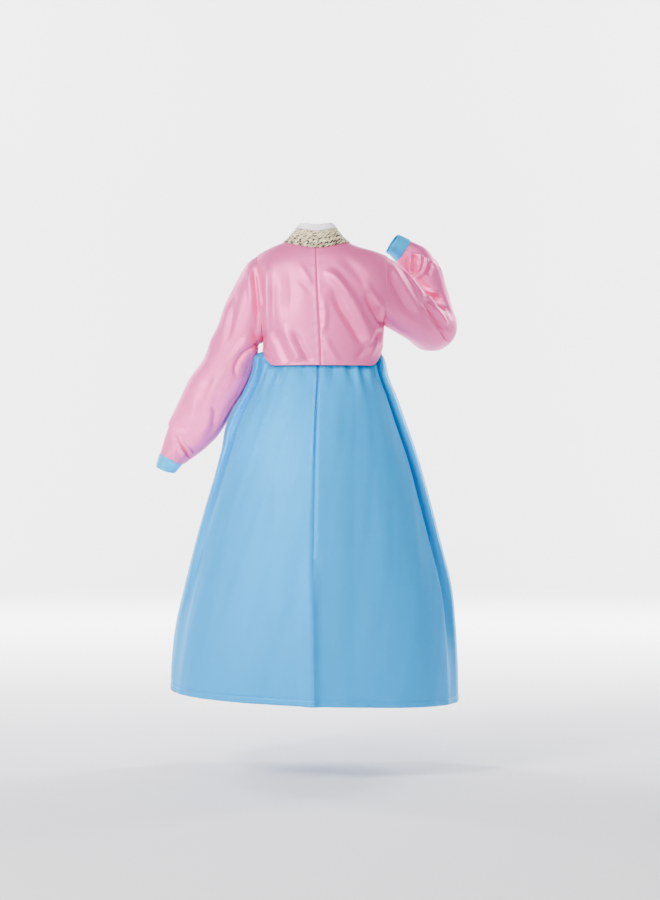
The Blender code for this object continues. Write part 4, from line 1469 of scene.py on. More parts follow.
@dataclass
class Jacket:
    """The jacket's four body panels, two sleeves and two cuffs."""

    cloths: Wardrobe
    parts: int = 7
    ring_power: float = 2.15
    turn_rows: int = 4
    front_edge: float = 0.052
    inner_edge: float = 0.040
    overlap_lift: float = 0.0078
    sleeve_row_parts: int = 13
    sleeve_ring_parts: tuple[int, int] = (1, 2)
    inner_fullness: tuple[tuple[float, ...], tuple[float, ...]] = (
        (-0.43, -0.40, -0.37, -0.34, -0.31, -0.27, -0.22, -0.20, -0.185, -0.17),
        (3.0, 7.0, 8.0, 5.5, 3.0, 3.0, 5.0, 7.0, 4.0, 0.0),
    )
    panels: dict[str, BodyPanel] = field(default_factory=dict)
    coarse: dict[str, BodyPanel] = field(default_factory=dict)
    shells: dict[str, Shell] = field(default_factory=dict)

    def __post_init__(self) -> None:
        """Cuts the four panels, fine for the cloth and coarse for the collar's line."""
        cuts = {
            "jeogori_back_left": (Face.BACK, LEFT, 0.0, 0.0),
            "jeogori_back_right": (Face.BACK, RIGHT, 0.0, 0.0),
            "jeogori_front_left": (Face.FRONT, LEFT, self.front_edge, self.overlap_lift),
            "jeogori_front_right": (Face.FRONT, RIGHT, self.inner_edge, 0.0),
        }
        self.coarse = {name: BodyPanel(*cut) for name, cut in cuts.items()}
        self.panels = {name: BodyPanel(*cut, parts=self.parts) for name, cut in cuts.items()}

    def seam_relief(self, panel: BodyPanel, grid: Points) -> Points:
        """Sinks the sewn edges of a panel into a fine groove, with small puckers along the back seam.

        Args:
            panel: The panel.
            grid: Its points.

        Returns:
            The distance outwards for each point.
        """
        across, along = Shell("", grid).coordinates()
        top, outer_edge = np.max(along, axis=0, keepdims=True), across[:, -1:]
        relief = -0.0006 * fall(outer_edge - across, 0.0016)
        relief -= 0.0007 * fall(top - along, 0.0018) * (across > 0.45 * outer_edge)
        if not panel.edge:
            near = fall(across, JACKET_SEAM_WIDTH)
            relief -= 0.0012 * fall(across, 0.0012)
            pucker = wander(along, 3 if panel.side is LEFT else 5, 0.021)
            relief += 0.0007 * pucker * fall(across - 0.002, 0.018) * (1 - near)
            if panel.side is LEFT:
                relief += 0.0009 * hump((across - 0.0040) / 0.0030)
        else:
            relief -= 0.0008 * fall(across, 0.0022)
        relief += 0.0011 * fall(np.abs(along - 0.0012), 0.0028) - 0.0006 * fall(along, 0.0010)
        return relief

    def body(self) -> None:
        """Builds the four body panels."""
        for name, panel in self.panels.items():
            grid = panel.grid()
            shell = Shell(name + "_cloth", grid)
            pressed = BACK_CREASES if panel.face is Face.BACK else FRONT_CREASES
            across, along = shell.coordinates()
            neck = np.max(along, axis=0, keepdims=True) - along
            steady = 1.0 - 0.6 * fall(along, 0.012)
            steady *= ease(neck / 0.03) * ease(across / 0.02) if panel.edge else ease(neck / 0.02)
            press_all(shell, pressed, steady)
            shell.push(self.seam_relief(panel, shell.outer))
            self.shells[name] = Shell(name, shell.outer)
            if panel.face is Face.FRONT:
                tuck(tuck(shell, 0, True), 1, True)
            elif panel.side is RIGHT:
                tuck(shell, 1, False)
            dress(shell.build(self.cloths.pink), name)

    def armhole(self, side: Side) -> Points:
        """The ring of points round an armhole: from the armpit up the back and down the front.

        Args:
            side: Left or right.

        Returns:
            The points.
        """
        low = BodyPanel.ROWS[0] * self.parts
        rising = self.shells["jeogori_back_" + side.name].outer[low:, -1]
        falling = self.shells["jeogori_front_" + side.name].outer[low:, -1][::-1]
        middle = (rising[-1] + falling[0]) / 2
        bottom = (rising[0] + falling[-1]) / 2
        ring = np.vstack([[bottom], rising[1:-1], [middle], falling[1:-1]])
        return ring + np.array([side.sign * ARM_SEAM, 0.0, 0.0])

    def rings(self, side: Side, table: Sequence[SleeveRow], count: int) -> Points:
        """One ring for each row of a sleeve's table, in the order of the armhole's ring.

        Args:
            side: Left or right.
            table: The sleeve's rows.
            count: Points in a ring.

        Returns:
            Rows of rings.
        """
        low = np.array([(row.low_x, row.low_y, row.low_z) for row in table])
        top = np.array([(row.top_x, row.top_y, row.top_z) for row in table])
        along = unit(np.gradient((low + top) / 2, axis=0))
        turn = 2 * math.pi * np.arange(count) / count
        rise, swing = -rounded(np.cos(turn), self.ring_power), rounded(np.sin(turn), self.ring_power)
        rings = []
        for index, row in enumerate(table):
            reach = (top[index] - low[index]) / 2
            turned = ease((index + 1) / self.turn_rows)
            ahead = along[index] * turned + np.array([side.sign, 0.0, 0.0]) * (1 - turned)
            aside = unit(np.cross(reach, ahead)) * side.sign * row.half_deep
            middle = (low[index] + top[index]) / 2
            rings.append(middle + reach * rise[:, None] + aside * swing[:, None])
        return np.array(rings)

    def sleeve(self, side: Side, table: Sequence[SleeveRow], cuff_table: Sequence[SleeveRow]) -> None:
        """Builds a sleeve and its cuff.

        Args:
            side: Left or right.
            table: The sleeve's rows.
            cuff_table: The cuff's rows.
        """
        start = self.armhole(side)
        spread = self.sleeve_ring_parts[0 if side is LEFT else 1]
        rings = self.rings(side, tuple(table) + tuple(cuff_table), len(start))
        whole = np.concatenate([[start], rings[: len(table)]])
        fine = refine_ring(whole, self.sleeve_row_parts, spread)
        name = "sleeve_" + side.name
        shell = Shell(name + "_cloth", fine, closed=True)
        _, along = shell.coordinates()
        length = along[-1:].mean()
        steady = ease(along / 0.020) * ease((length - along) / 0.010)
        press_all(shell, SLEEVE_CREASES[side.name], steady)
        if side is LEFT:
            inward = np.clip(-shell.normals()[..., 0], 0.0, 1.0)
            fuller = np.interp(shell.outer[..., 2], *self.inner_fullness)
            shell.push(fuller * MM * inward * steady)
        around = (np.arange(fine.shape[1]) / fine.shape[1])[None, :]
        ending = np.clip((length - along) / 0.055, 0.0, 1.0)
        gathers = 0.0013 * wander(around, 11, 0.075) * (1 - ease(ending)) * ease(ending * 6)
        puff = 0.0022 * ease((length - along) / 0.008) * fall(length - along, 0.045)
        seam = -0.0006 * fall(along, 0.0016) - 0.0012 * fall(length - along, 0.0025)
        shell.push(gathers + puff + seam)
        tuck(shell, 0, False)
        lengths = [name, name + "_lower"] + ([name + "_wrist"] if side is LEFT else [])
        piece = shell.build(self.cloths.pink)
        dress(piece, lengths)
        lowest = rings[len(table) - 1]
        parted = unit(rings[len(table)].mean(axis=0) - lowest.mean(axis=0)) * SEAM
        cuff = refine_ring(np.concatenate([[lowest + parted], rings[len(table) :]]), 12, spread)
        band = Shell("cuff_" + side.name + "_cloth", cuff, 0.0019, closed=True)
        _, up = band.coordinates()
        high = up[-1:].mean()
        rolled = -0.0009 * fall(up, 0.0022) - 0.0009 * fall(high - up, 0.0022)
        rolled = rolled + 0.0006 * wander(around, 4, 0.19) * hump((up - high / 2) / (high / 2))
        band.push(rolled + 0.0006)
        stitched = band.seam_line(-5)
        tuck(band, 0, False, 0.0012, 0.0035)
        piece = band.build(self.cloths.cuff)
        dress(piece, "cuff_" + side.name)
        ring = np.vstack([stitched, stitched[:1]])
        stitch("cuff_" + side.name, [ring], self.cloths.blue_thread)

    def build(self) -> None:
        """Builds the whole jacket but its collar and ties."""
        self.body()
        self.sleeve(LEFT, LEFT_SLEEVE, LEFT_CUFF)
        self.sleeve(RIGHT, RIGHT_SLEEVE, RIGHT_CUFF)


SLEEVE_CREASES = {
    "left": creases(
        Face.BACK,
        (((122, -40), (117, -87), (114, -134), (114, -178)), -6.5, 7, 8, (0.20, 0.25)),
        (((134, -48), (128, -92), (126, -150)), 3.0, 9, 9, (0.25, 0.35)),
        (((162, -75), (167, -153), (181, -203)), -5.2, 16, 15, (0.25, 0.30)),
        (((192, -104), (202, -162), (210, -220)), 3.4, 17, 17),
        (((114, -192), (130, -204), (148, -216), (160, -242), (158, -264)), -6.0, 9, 8, (0.05, 0.35)),
        (((132, -178), (152, -204), (172, -232)), 3.2, 10, 12, (0.30, 0.35)),
        (((181, -246), (207, -291), (215, -340), (238, -380)), 5.0, 14, 14, (0.30, 0.25)),
        (((196, -262), (228, -264), (250, -256)), -3.4, 14, 14, (0.30, 0.20)),
        (((242, -290), (238, -320), (250, -345)), 3.4, 18, 18),
        (((212, -300), (204, -330), (214, -362)), -3.0, 12, 12),
        (((282, -352), (266, -357), (248, -358)), -5.0, 9, 9, (0.08, 0.40)),
        (((283, -371), (267, -392), (252, -420)), -5.0, 7, 8, (0.20, 0.15)),
        (((273, -372), (259, -394), (245, -414)), 3.4, 6, 7, (0.30, 0.20)),
    )
    + creases(
        Face.FRONT,
        (((150, -110), (160, -180), (190, -260)), -3.6, 16, 14, (0.30, 0.35)),
        (((190, -200), (206, -256), (236, -310)), 3.0, 14, 14, (0.30, 0.35)),
        (((228, -236), (206, -262), (182, -286)), -4.4, 10, 12, (0.20, 0.35)),
        (((280, -350), (262, -366), (246, -392)), -3.6, 8, 8, (0.20, 0.35)),
    ),
    "right": creases(
        Face.BACK,
        (((-137, -20), (-163, -44), (-187, -74), (-210, -104)), 5.0, 4, 15, (0.20, 0.15)),
        (((-120, -30), (-146, -74), (-172, -120), (-196, -150)), -5.0, 15, 15, (0.25, 0.30)),
        (((-142, -34), (-170, -82), (-208, -146)), 3.0, 11, 11, (0.25, 0.25)),
        (((-206, -112), (-228, -146), (-250, -176), (-264, -192)), -10.0, 2.5, 17, (0.05, 0.20)),
        (((-202, -112), (-222, -146), (-244, -178)), 2.8, 9, 3, (0.15, 0.25)),
        (((-194, -4), (-193, -28), (-188, -56)), -8.0, 7, 6, (0.15, 0.10)),
        (((-204, 2), (-206, -22), (-200, -48)), 4.0, 6, 6, (0.20, 0.20)),
        (((-216, 2), (-218, -25), (-212, -45), (-194, -60)), 5.0, 5, 5, (0.20, 0.10), 0.7),
        (((-227, -4), (-228, -30), (-219, -54)), -5.0, 8, 7, (0.25, 0.20)),
        (((-178, -14), (-180, -36), (-184, -52)), -4.2, 5, 5, (0.20, 0.10)),
        (((-204, -70), (-220, -80), (-236, -85), (-249, -86)), 5.0, 5, 5, (0.15, 0.40), 0.6),
        (((-206, -80), (-222, -90), (-238, -96), (-251, -98)), -7.0, 7, 7, (0.10, 0.40)),
        (((-205, -70), (-209, -84), (-215, -98)), -7.0, 4, 4, (0.10, 0.20)),
        (((-212, -98), (-224, -104), (-242, -116)), 5.0, 5, 5, (0.15, 0.25), 0.7),
        (((-216, -106), (-228, -114), (-242, -124)), -7.5, 5, 5, (0.10, 0.25), 0.7),
        (((-216, -122), (-230, -136), (-244, -152), (-254, -166)), -9.0, 7, 8, (0.05, 0.30)),
        (((-230, -120), (-244, -136), (-258, -156)), 5.5, 6, 7, (0.15, 0.30)),
        (((-246, -110), (-256, -128), (-262, -150)), 2.6, 7, 7),
    )
    + creases(
        Face.FRONT,
        (((-182, -118), (-206, -150), (-232, -176)), -3.8, 16, 14, (0.30, 0.40)),
        (((-206, -90), (-236, -96), (-262, -100)), -4.6, 8, 9, (0.25, 0.25)),
        (((-206, -62), (-232, -60), (-256, -56)), 3.4, 8, 8, (0.25, 0.25)),
        (((-196, -44), (-206, -20), (-212, 4)), -3.4, 7, 8, (0.25, 0.25)),
    ),
}


@dataclass
class Collar:
    """The brocade collar band and the white strip on its upper edge."""

    cloths: Wardrobe
    jacket: Jacket
    width: float = 0.046
    wall: float = 0.0016
    rows: tuple[float, ...] = (0.06, 0.33, 0.66, 1.0)
    strip_width: float = 0.0135
    strip_wall: float = 0.0012
    strip_gap: float = 0.0006
    lap: float = 0.004
    lap_lift: float = 0.0004
    hidden_columns: int = 5
    near_top: float = 0.985
    curl: float = 0.004
    flat_until: float = 0.9

    def bases(self) -> list[tuple[Points, Points, float, float]]:
        """Points along the neckline: up the left front, round the neck, down the right front.

        Returns:
            Each point, the outward direction there, its mark in the collar's table and its side.
        """
        cut = self.jacket.coarse
        order = (
            (cut["jeogori_front_left"], False),
            (cut["jeogori_back_left"], True),
            (cut["jeogori_back_right"], False),
            (cut["jeogori_front_right"], True),
        )
        found = []
        for index, (panel, falling) in enumerate(order):
            marks = [mark for mark in panel.columns if mark <= panel.neck[-1] + STEP]
            if index == 1:
                marks = marks[:-1]
            elif index == 2:
                marks = marks[1:-1]
            elif index == 3:
                marks = marks[self.hidden_columns :]
            for mark in reversed(marks) if falling else marks:
                base = panel.surface(mark, 1.0)
                share = abs(base[0] + panel.side.sign * panel.edge) / (panel.neck_half + panel.edge)
                place = share if panel.face is Face.FRONT else 2 - abs(base[0]) / panel.neck_half
                found.append((base, panel.normal(mark, self.near_top), min(place, 2.0), panel.side.sign))
        return found

    def grids(self) -> tuple[Points, Points]:
        """Coarse outer points of the collar, and their outward directions.

        Returns:
            The points, and the directions.
        """
        lean = tracks(COLLAR)
        bases = self.bases()
        inner = []
        tangents = np.gradient(np.array([base for base, _, _, _ in bases]), axis=0)
        for (base, outward, place, sign), tangent in zip(bases, tangents):
            across, forward, up = (lean[name](place) for name in ("across", "forward", "up"))
            rise = unit(np.array([-sign * across, forward, up]))
            flat = fall(place, self.flat_until)
            rise = unit(rise - outward * np.dot(rise, outward) * flat)
            lifted = base + outward * ON_TOP
            lap = unit(np.cross(outward, tangent))
            lap = lap * -math.copysign(1.0, float(np.dot(lap, rise)))
            row = [lifted + lap * self.lap + outward * self.lap_lift]
            row += [
                lifted + rise * self.width * part - outward * self.curl * flat * part**2
                for part in self.rows
            ]
            inner.append(row)
        inner = np.array(inner)
        normals = unit(np.cross(np.gradient(inner, axis=0), np.gradient(inner, axis=1)))
        return inner + normals * self.wall, normals

    def build(self) -> None:
        """Builds the collar, its strip and the hand stitches that hold the strip."""
        outer, normals = self.grids()
        fine = refine(outer, 8, 6)
        shell = Shell("collar_git_cloth", fine, 0.0015, hint=refine(normals, 8, 6))
        across, along = shell.coordinates()
        high = across[:, -1:]
        edge = -0.0006 * fall(across, 0.0020) - 0.0006 * fall(high - across, 0.0020)
        shell.push(edge + 0.0004 * wander(along, 7, 0.060) * hump((across - high / 2) / (high / 2)))
        dress(shell.build(self.cloths.gold), "collar_git")
        covered = slice(2, -1)
        top, below, outward = outer[covered, -1], outer[covered, -2], normals[covered, -3:]
        span = np.linalg.norm(top - below, axis=1, keepdims=True)
        start = top + (below - top) / span * self.strip_width
        inner = np.stack([start, (start + top) / 2, top], axis=1) + outward * self.strip_gap
        strip = refine(inner + outward * self.strip_wall, 8, 8)
        band = Shell("dongjeong_cloth", strip, 0.0011, hint=refine(outward, 8, 8))
        piece = band.build(self.cloths.white)
        dress(piece, "dongjeong")
        line = band.seam_line(np.s_[:, 2])
        stitch("dongjeong", [line], self.cloths.white_thread)


# --- The skirt ---


class Gather(NamedTuple):
    """One gather that shows below the jacket: place in degrees, height, half width and length."""

    turn: float
    depth: float
    half_turn: float
    length: float


BACK_GATHERS = table(
    Gather,
    (-52.0, -3.2, 5.0, 46.0),
    (-44.0, 2.6, 4.0, 34.0),
    (-37.0, -2.6, 4.5, 40.0),
    (-30.0, 2.8, 3.6, 52.0),
    (-24.0, -2.4, 4.0, 30.0),
    (-17.0, 1.6, 4.0, 24.0),
    (-9.0, -2.2, 3.6, 28.0),
    (-3.6, 2.4, 2.6, 34.0),
    (4.2, 2.0, 3.0, 26.0),
    (10.5, -1.8, 4.0, 20.0),
    (19.0, 1.4, 5.0, 18.0),
    (28.0, -2.4, 4.0, 36.0),
    (33.5, 2.6, 3.4, 30.0),
    (41.0, -3.0, 4.4, 44.0),
    (48.0, 2.4, 4.0, 40.0),
    (54.0, -3.0, 4.6, 52.0),
)


@dataclass
class Skirt:
    """The full skirt in three widths, gathered to its chest band, with its two straps."""

    cloths: Wardrobe
    top_z: float = -0.150
    hem_z: float = -0.874
    hem_lean: float = 0.011
    power: float = 2.3
    tuck: float = 0.0048
    spring: float = 1.6
    side_spring: float = 1.6
    spring_ease: float = 0.008
    quarter: int = 16
    fold_column: int = 12
    fold_half_turn: float = 7.0
    flutes: int = 5
    flute_depth: float = 0.011
    flute_top_z: float = -0.30
    column_parts: int = 7
    row_count: int = 184
    hem_rows: tuple[float, ...] = (13.4, 12.4, 11.6, 10.8, 2.2, 1.0)
    hem_fold: float = 0.0108
    hem_step: float = 0.0007
    hem_stitches: float = 0.0098
    lip_share: float = 0.45
    ridge_half: float = 0.075
    ridge_height: float = 0.0085
    crest_left: float = 0.031
    crest_right: float = 0.010
    crest_height: float = 0.0092
    band_top_z: float = -0.112
    band_left_x: float = 0.0915
    band_right_x: float = -0.0980
    band_back: float = 0.0780
    band_front: float = 0.0830
    strap_x: float = 0.086
    strap_half: float = 0.011
    strap_wall: float = 0.0012
    strap_drop: float = 0.0046
    left_fullness: tuple[tuple[float, ...], tuple[float, ...]] = (
        (-0.46, -0.40, -0.36, -0.33, -0.29, -0.25, -0.225, -0.205, -0.185),
        (0.0, 2.0, 6.0, 6.0, 4.5, 5.5, 6.0, 6.0, 0.0),
    )
    edges: dict[str, Track] = field(default_factory=lambda: tracks(SKIRT))
    folds: dict[str, Track] = field(default_factory=lambda: tracks(SIDE_FOLDS))

    def base(self, turn: Points, z: Points) -> Points:
        """Points of the smooth skirt at a turn in degrees from the middle of the back.

        Args:
            turn: Turn of each point in degrees.
            z: Its height.

        Returns:
            The points.
        """
        angle = np.radians(turn)
        sine, cosine = np.sin(angle), np.cos(angle)
        seam = self.edges["seam_x"](z)
        edge = np.where(sine >= 0, self.edges["left_x"](z), self.edges["right_x"](z))
        deep = np.where(cosine >= 0, self.edges["back"](z), self.edges["front"](z))
        x = seam + (edge - seam) * np.abs(sine) ** (2 / self.power)
        return np.stack(np.broadcast_arrays(x, deep * rounded(cosine, self.power), z), axis=-1)

    def under_jacket(self, points: Points) -> Points:
        """Draws points in under the jacket, and lets them spring out below its hem.

        Args:
            points: Points of the skirt.

        Returns:
            The points, moved.
        """
        x, y, z = points[..., 0], points[..., 1], points[..., 2]
        centre = FORM.body["centre_x"](np.maximum(z, FORM.front_hem_z))
        across = x - centre
        left, back = across >= 0, y >= 0
        level = z
        reach = np.maximum(np.hypot(across, y), STEP)
        for _ in range(2):
            wide = np.where(left, FORM.body["left"](level), FORM.body["right"](level))
            deep = np.where(back, FORM.body["back"](level), FORM.body["front"](level))
            power = FORM.plan_power
            ratio = ((np.abs(across) / wide) ** power + (np.abs(y) / deep) ** power) ** (1 / power)
            jacket = reach / ratio
            beside = np.minimum(1.0, np.abs(across) / reach * jacket / wide)
            turn = np.arcsin(beside ** (power / 2)) / (math.pi / 2)
            hems = [FORM.hem(face, side, turn) for face in Face for side in (LEFT, RIGHT)]
            hem = np.where(back, np.where(left, hems[0], hems[1]), np.where(left, hems[2], hems[3]))
            level = np.maximum(z, hem)
        below = np.maximum(0.0, hem - z)
        spring = self.spring * (1 + np.where(left, self.side_spring * ease((beside - 0.72) / 0.2), 0.0))
        limit = jacket - WALL - self.tuck + spring * below**2 / (below + self.spring_ease)
        shrink = np.minimum(1.0, limit / reach)
        return np.stack([centre + across * shrink, y * shrink, z], axis=-1)

    def turns(self, columns: Points, z: Points) -> Points:
        """Turn of each column, 0 to 64 round from the middle of the back: columns crowd at the pleats.

        Args:
            columns: The columns.
            z: Heights along them.

        Returns:
            The turns in degrees.
        """
        total = 4 * self.quarter
        column = np.mod(columns, total)
        right = column > 3 * self.quarter
        place = np.where(right, total - column, column)
        centre = np.where(right, self.folds["right_turn"](z), self.folds["left_turn"](z))
        low, high = self.fold_column - 2, self.fold_column + 2
        before = (centre - self.fold_half_turn) * place / low
        inside = centre + self.fold_half_turn * (place - self.fold_column) / 2
        start = centre + self.fold_half_turn
        beyond = start + (90.0 - start) * (place - high) / (self.quarter - high)
        near = np.where(place < low, before, np.where(place < high, inside, beyond))
        even = 90.0 * column / self.quarter
        folded = (column < self.quarter) | right
        return np.where(folded, np.where(right, 360.0 - near, near), even)

    def past_pleat(self, turn: Points, z: Points) -> tuple[Points, Points]:
        """Finds where points lie beside the deep pleat on their own side.

        Args:
            turn: Signed turn of each point in degrees.
            z: Its height.

        Returns:
            How many degrees past the pleat each point is, and the pleat's depth.
        """
        left = turn >= 0
        centre = np.where(left, self.folds["left_turn"](z), self.folds["right_turn"](z))
        depth = np.where(left, self.folds["left_depth"](z), self.folds["right_depth"](z))
        return np.abs(turn) - centre, depth

    def inset(self, turn: Points, z: Points) -> Points:
        """How far the cloth lies inside the smooth skirt: side pleats, and soft flutes in front.

        Args:
            turn: Signed turn of each point in degrees.
            z: Its height.

        Returns:
            The distance inwards.
        """
        past, depth = self.past_pleat(turn, z)
        away = past / self.fold_half_turn
        sharp = np.where(away < 0, 0.85, 1.15)
        inset = depth * np.cos(np.clip(np.abs(away) / sharp, 0.0, 1.0) * math.pi / 2) ** 1.6
        grown = ease((self.flute_top_z - z) / (self.flute_top_z - self.hem_z))
        share = np.clip((np.abs(turn) - 90.0) / 90.0, 0.0, 1.0)
        swell = (1 - np.cos(math.pi * self.flutes * share)) / 2
        return inset + np.where(np.abs(turn) > 90.0, self.flute_depth * grown * swell, 0.0)

    def lip(self, turn: Points, z: Points) -> Points:
        """How far the outer edge of each side pleat stands up towards the back."""
        past, depth = self.past_pleat(turn, z)
        return self.lip_share * depth * hump((past - self.fold_half_turn * 1.25) / 5.5)

    def side_fullness(self, turn: Points, z: Points) -> Points:
        """Lets the cloth stand out a little more at the left side, beside the sleeve."""
        return np.interp(z, *self.left_fullness) * MM * hump((turn - 84.0) / 24.0)

    def relief(self, turn: Points, z: Points, points: Points) -> Points:
        """Ridge at the back seam, gathers under the jacket and long soft drags down the widths.

        Args:
            turn: Signed turn of each point in degrees.
            z: Its height.
            points: Points of the smooth skirt.

        Returns:
            The distance outwards for each point.
        """
        from_seam = points[..., 0] - self.edges["seam_x"](z)
        down = (FORM.back_hem_z - z) / MM
        behind = np.abs(turn) < 90.0
        total = np.zeros_like(z)
        for gather in BACK_GATHERS:
            swing = 1.5 * wander(down / 40.0, int(abs(gather.turn)), 2.6)
            fading = fall(down, gather.length * 1.7)
            opened = 1 + np.maximum(down, 0.0) / 90.0
            place = (turn - gather.turn - swing) / (gather.half_turn * opened)
            total += gather.depth * MM * hump(place) * fading
        for index in range(15):
            place = 96.0 + 12.0 * index + 3.0 * wander(np.float64(index), 2, 2.3)
            height = (2.4 if index % 2 else -2.6) * (1 + 0.3 * wander(np.float64(index), 9, 3.1))
            turned = np.mod(turn, 360.0)
            fading = fall(down, 70.0 + 26.0 * wander(np.float64(index), 6, 1.9))
            total += height * MM * hump((turned - place) / 5.5) * fading
        total += self.side_fullness(turn, z)
        seam = np.abs(from_seam)
        tent = np.sqrt((seam / self.ridge_half) ** 2 + 0.0012)
        ridge = self.ridge_height * ease((-z - 0.25) / 0.14) * (1 - np.minimum(tent, 1.0))
        total += np.where(behind, ridge, 0.0)
        welt = np.where(from_seam > 0, 0.0018 * hump((seam - 0.0040) / 0.0034), 0.0)
        groove = -0.0026 * fall(seam, 0.0018)
        pucker = wander(z, 8, 0.034) * 0.0007 * fall(seam, 0.018) * ease(seam / 0.002)
        total += np.where(behind, welt + groove + pucker, 0.0)
        sloping = np.where(from_seam > 0, from_seam / self.crest_left, -from_seam / self.crest_right)
        crest = self.crest_height * ease((-z - 0.55) / 0.20) * (1 - ease(sloping))
        total += np.where(behind, crest, 0.0)
        snag = ((from_seam + 0.004) / 0.016) ** 2 + ((z + 0.610) / 0.014) ** 2
        total += np.where(behind, 0.0016 * np.exp(-snag) * np.sin(from_seam / 0.0045), 0.0)
        uneven = wander(turn, 4, 31.0) * 0.6 + wander(turn + z * 60.0, 7, 19.0) * 0.4
        lower, beside = ease(down / 160.0), ease((1 - np.abs(turn) / 90.0) * 4)
        total += np.where(behind, 0.0016 * uneven * lower * ease(seam / 0.06) * beside, 0.0)
        total -= np.where(behind, 0.0, 0.0014 * (0.5 + 0.5 * uneven) * lower)
        return total

    def panel(self, first: float, last: float, parts: int) -> tuple[Points, Points]:
        """Outer points between two columns, and the smooth skirt's outward directions there.

        Args:
            first: First column, in quarters.
            last: Last column, in quarters.
            parts: Spans to each of the skirt's 64 columns.

        Returns:
            The points, and the directions.
        """
        count = int((last - first) * self.quarter * parts) + 1
        columns = np.linspace(first * self.quarter, last * self.quarter, count)[None, :]
        turned_up = 1 - np.array(self.hem_rows) * MM / (self.top_z - self.hem_z)
        evenly = np.linspace(0.0, 1.0, self.row_count) ** 1.12
        share = np.sort(np.concatenate([evenly, turned_up]))[:, None]
        height = self.top_z + (self.hem_z - self.top_z) * share
        rough = self.turns(columns, height)
        hem = self.hem_z + self.hem_lean * np.sin(np.radians(rough))
        z = self.top_z + (hem - self.top_z) * share
        turn = self.turns(columns, z)
        around = self.base(turn + 0.5, z) - self.base(turn - 0.5, z)
        up = self.base(turn, z + 0.002) - self.base(turn, z - 0.002)
        normal = unit(np.cross(up, around))
        smooth = self.base(turn, z)
        facing = np.sum(normal[..., :2] * smooth[..., :2], axis=-1, keepdims=True)
        normal = normal * np.copysign(1.0, facing)
        signed = np.mod(turn + 180.0, 360.0) - 180.0
        lift = self.relief(signed, z, smooth) - self.inset(signed, z)
        to_hem = z - hem
        lift = lift - 0.0010 * fall(to_hem, 0.0020) + self.hem_step * fall(to_hem - self.hem_fold, 0.0008)
        lift = lift - self.hem_step * hump((to_hem - self.hem_fold - 0.0014) / 0.0014)
        lift = lift + 0.0007 * wander(turn, 13, 9.0) * fall(to_hem, 0.022)
        points = smooth + normal * lift[..., None]
        points[..., 1] += self.lip(signed, z)
        return self.under_jacket(points), normal

    def build(self) -> None:
        """Builds the skirt's widths, its hem stitches, its band and straps."""
        widths = (
            ("chima_back_left", 0, 1, (1, 0, 0), (0, 1, 0), (0.405, 0.750)),
            ("chima_front", 1, 3, (0, -1, 0), (0, -1, 0), (0.802, 0.750)),
            ("chima_back_right", 3, 4, (0, 1, 0), (-1, 0, 0), (0.402, 0.756)),
        )
        hems = []
        for name, first, last, first_shift, last_shift, flat in widths:
            outer, normal = self.panel(first, last, self.column_parts)
            outer[:, 0] += np.array(first_shift) * SEAM / 2
            outer[:, -1] += np.array(last_shift) * SEAM / 2
            shell = Shell(name + "_cloth", outer, 0.0010, hint=normal)
            _, along = shell.coordinates()
            rise = along[-1:] - along
            row = int(np.argmin(np.abs(rise.mean(axis=1) - self.hem_stitches)))
            hems.append(shell.seam_line(row))
            if name == "chima_front":
                tuck(tuck(shell, 1, False), 1, True)
            elif name == "chima_back_right":
                tuck(shell, 1, True)
            dress(shell.build(self.cloths.blue), name)
        stitch("chima_hem", hems, self.cloths.blue_thread)
        self.band()
        for side in (LEFT, RIGHT):
            self.strap(side)

    def band(self) -> None:
        """Builds the chest band, flat white cloth folded over and stitched along both edges."""
        turn = np.linspace(0.0, 2 * math.pi, 193)[:-1][None, :]
        z = np.linspace(self.band_top_z, self.top_z + SEAM, 22)[:, None]
        sine, cosine = np.sin(turn), np.cos(turn)
        edge = np.where(sine >= 0, self.band_left_x, -self.band_right_x)
        deep = np.where(cosine >= 0, self.band_back, self.band_front)
        places = edge * rounded(sine, self.power), deep * rounded(cosine, self.power), z
        grid = np.stack(np.broadcast_arrays(*places), axis=-1)
        shell = Shell("malgi_band_cloth", grid, 0.0018, closed=True)
        rise = (z - z.min()) / (z.max() - z.min())
        rolled = -0.0006 * fall(rise, 0.08) - 0.0006 * fall(1 - rise, 0.08)
        shell.push(rolled + 0.0002 * wander(turn, 5, 0.45) * hump((rise - 0.5) * 2))
        dress(shell.build(self.cloths.white), "malgi_band")
        lines = []
        for row in (2, -3):
            ring = shell.seam_line(row)
            lines.append(np.vstack([ring, ring[:1]]))
        stitch("malgi", lines, self.cloths.white_thread)

    def strap(self, side: Side) -> None:
        """Builds one shoulder strap, from the back of the band over the shoulder to its front.

        Args:
            side: Left or right.
        """
        under, half = WALL + self.strap_drop, self.strap_half
        climbs = np.linspace(self.band_top_z + 0.004 - FORM.start_z, FORM.top - STEP, 46)
        path = [(Face.BACK, climb) for climb in climbs]
        path += [(Face.FRONT, climb) for climb in climbs[-2::-1]]
        rows, hints = [], []
        for offset in np.linspace(-half, half, 9):
            across = side.sign * self.strap_x + offset
            row, hint = [], []
            for face, climb in path:
                sideways = FORM.point(face, across + STEP, climb) - FORM.point(face, across - STEP, climb)
                up = FORM.point(face, across, climb) - FORM.point(face, across, climb - STEP)
                normal = unit(np.cross(sideways, up)) * -face.value
                rolled = 0.0004 * fall(half - abs(offset), 0.003)
                row.append(FORM.point(face, across, climb) - normal * (under + rolled))
                hint.append(normal)
            rows.append(row)
            hints.append(hint)
        name = "strap_" + side.name
        shell = Shell(name + "_cloth", np.array(rows), self.strap_wall, hint=np.array(hints))
        piece = shell.build(self.cloths.white)
        dress(piece, name)
        lines = [shell.seam_line(row) for row in (1, -2)]
        stitch(name, lines, self.cloths.white_thread)


# --- The tie ribbons ---


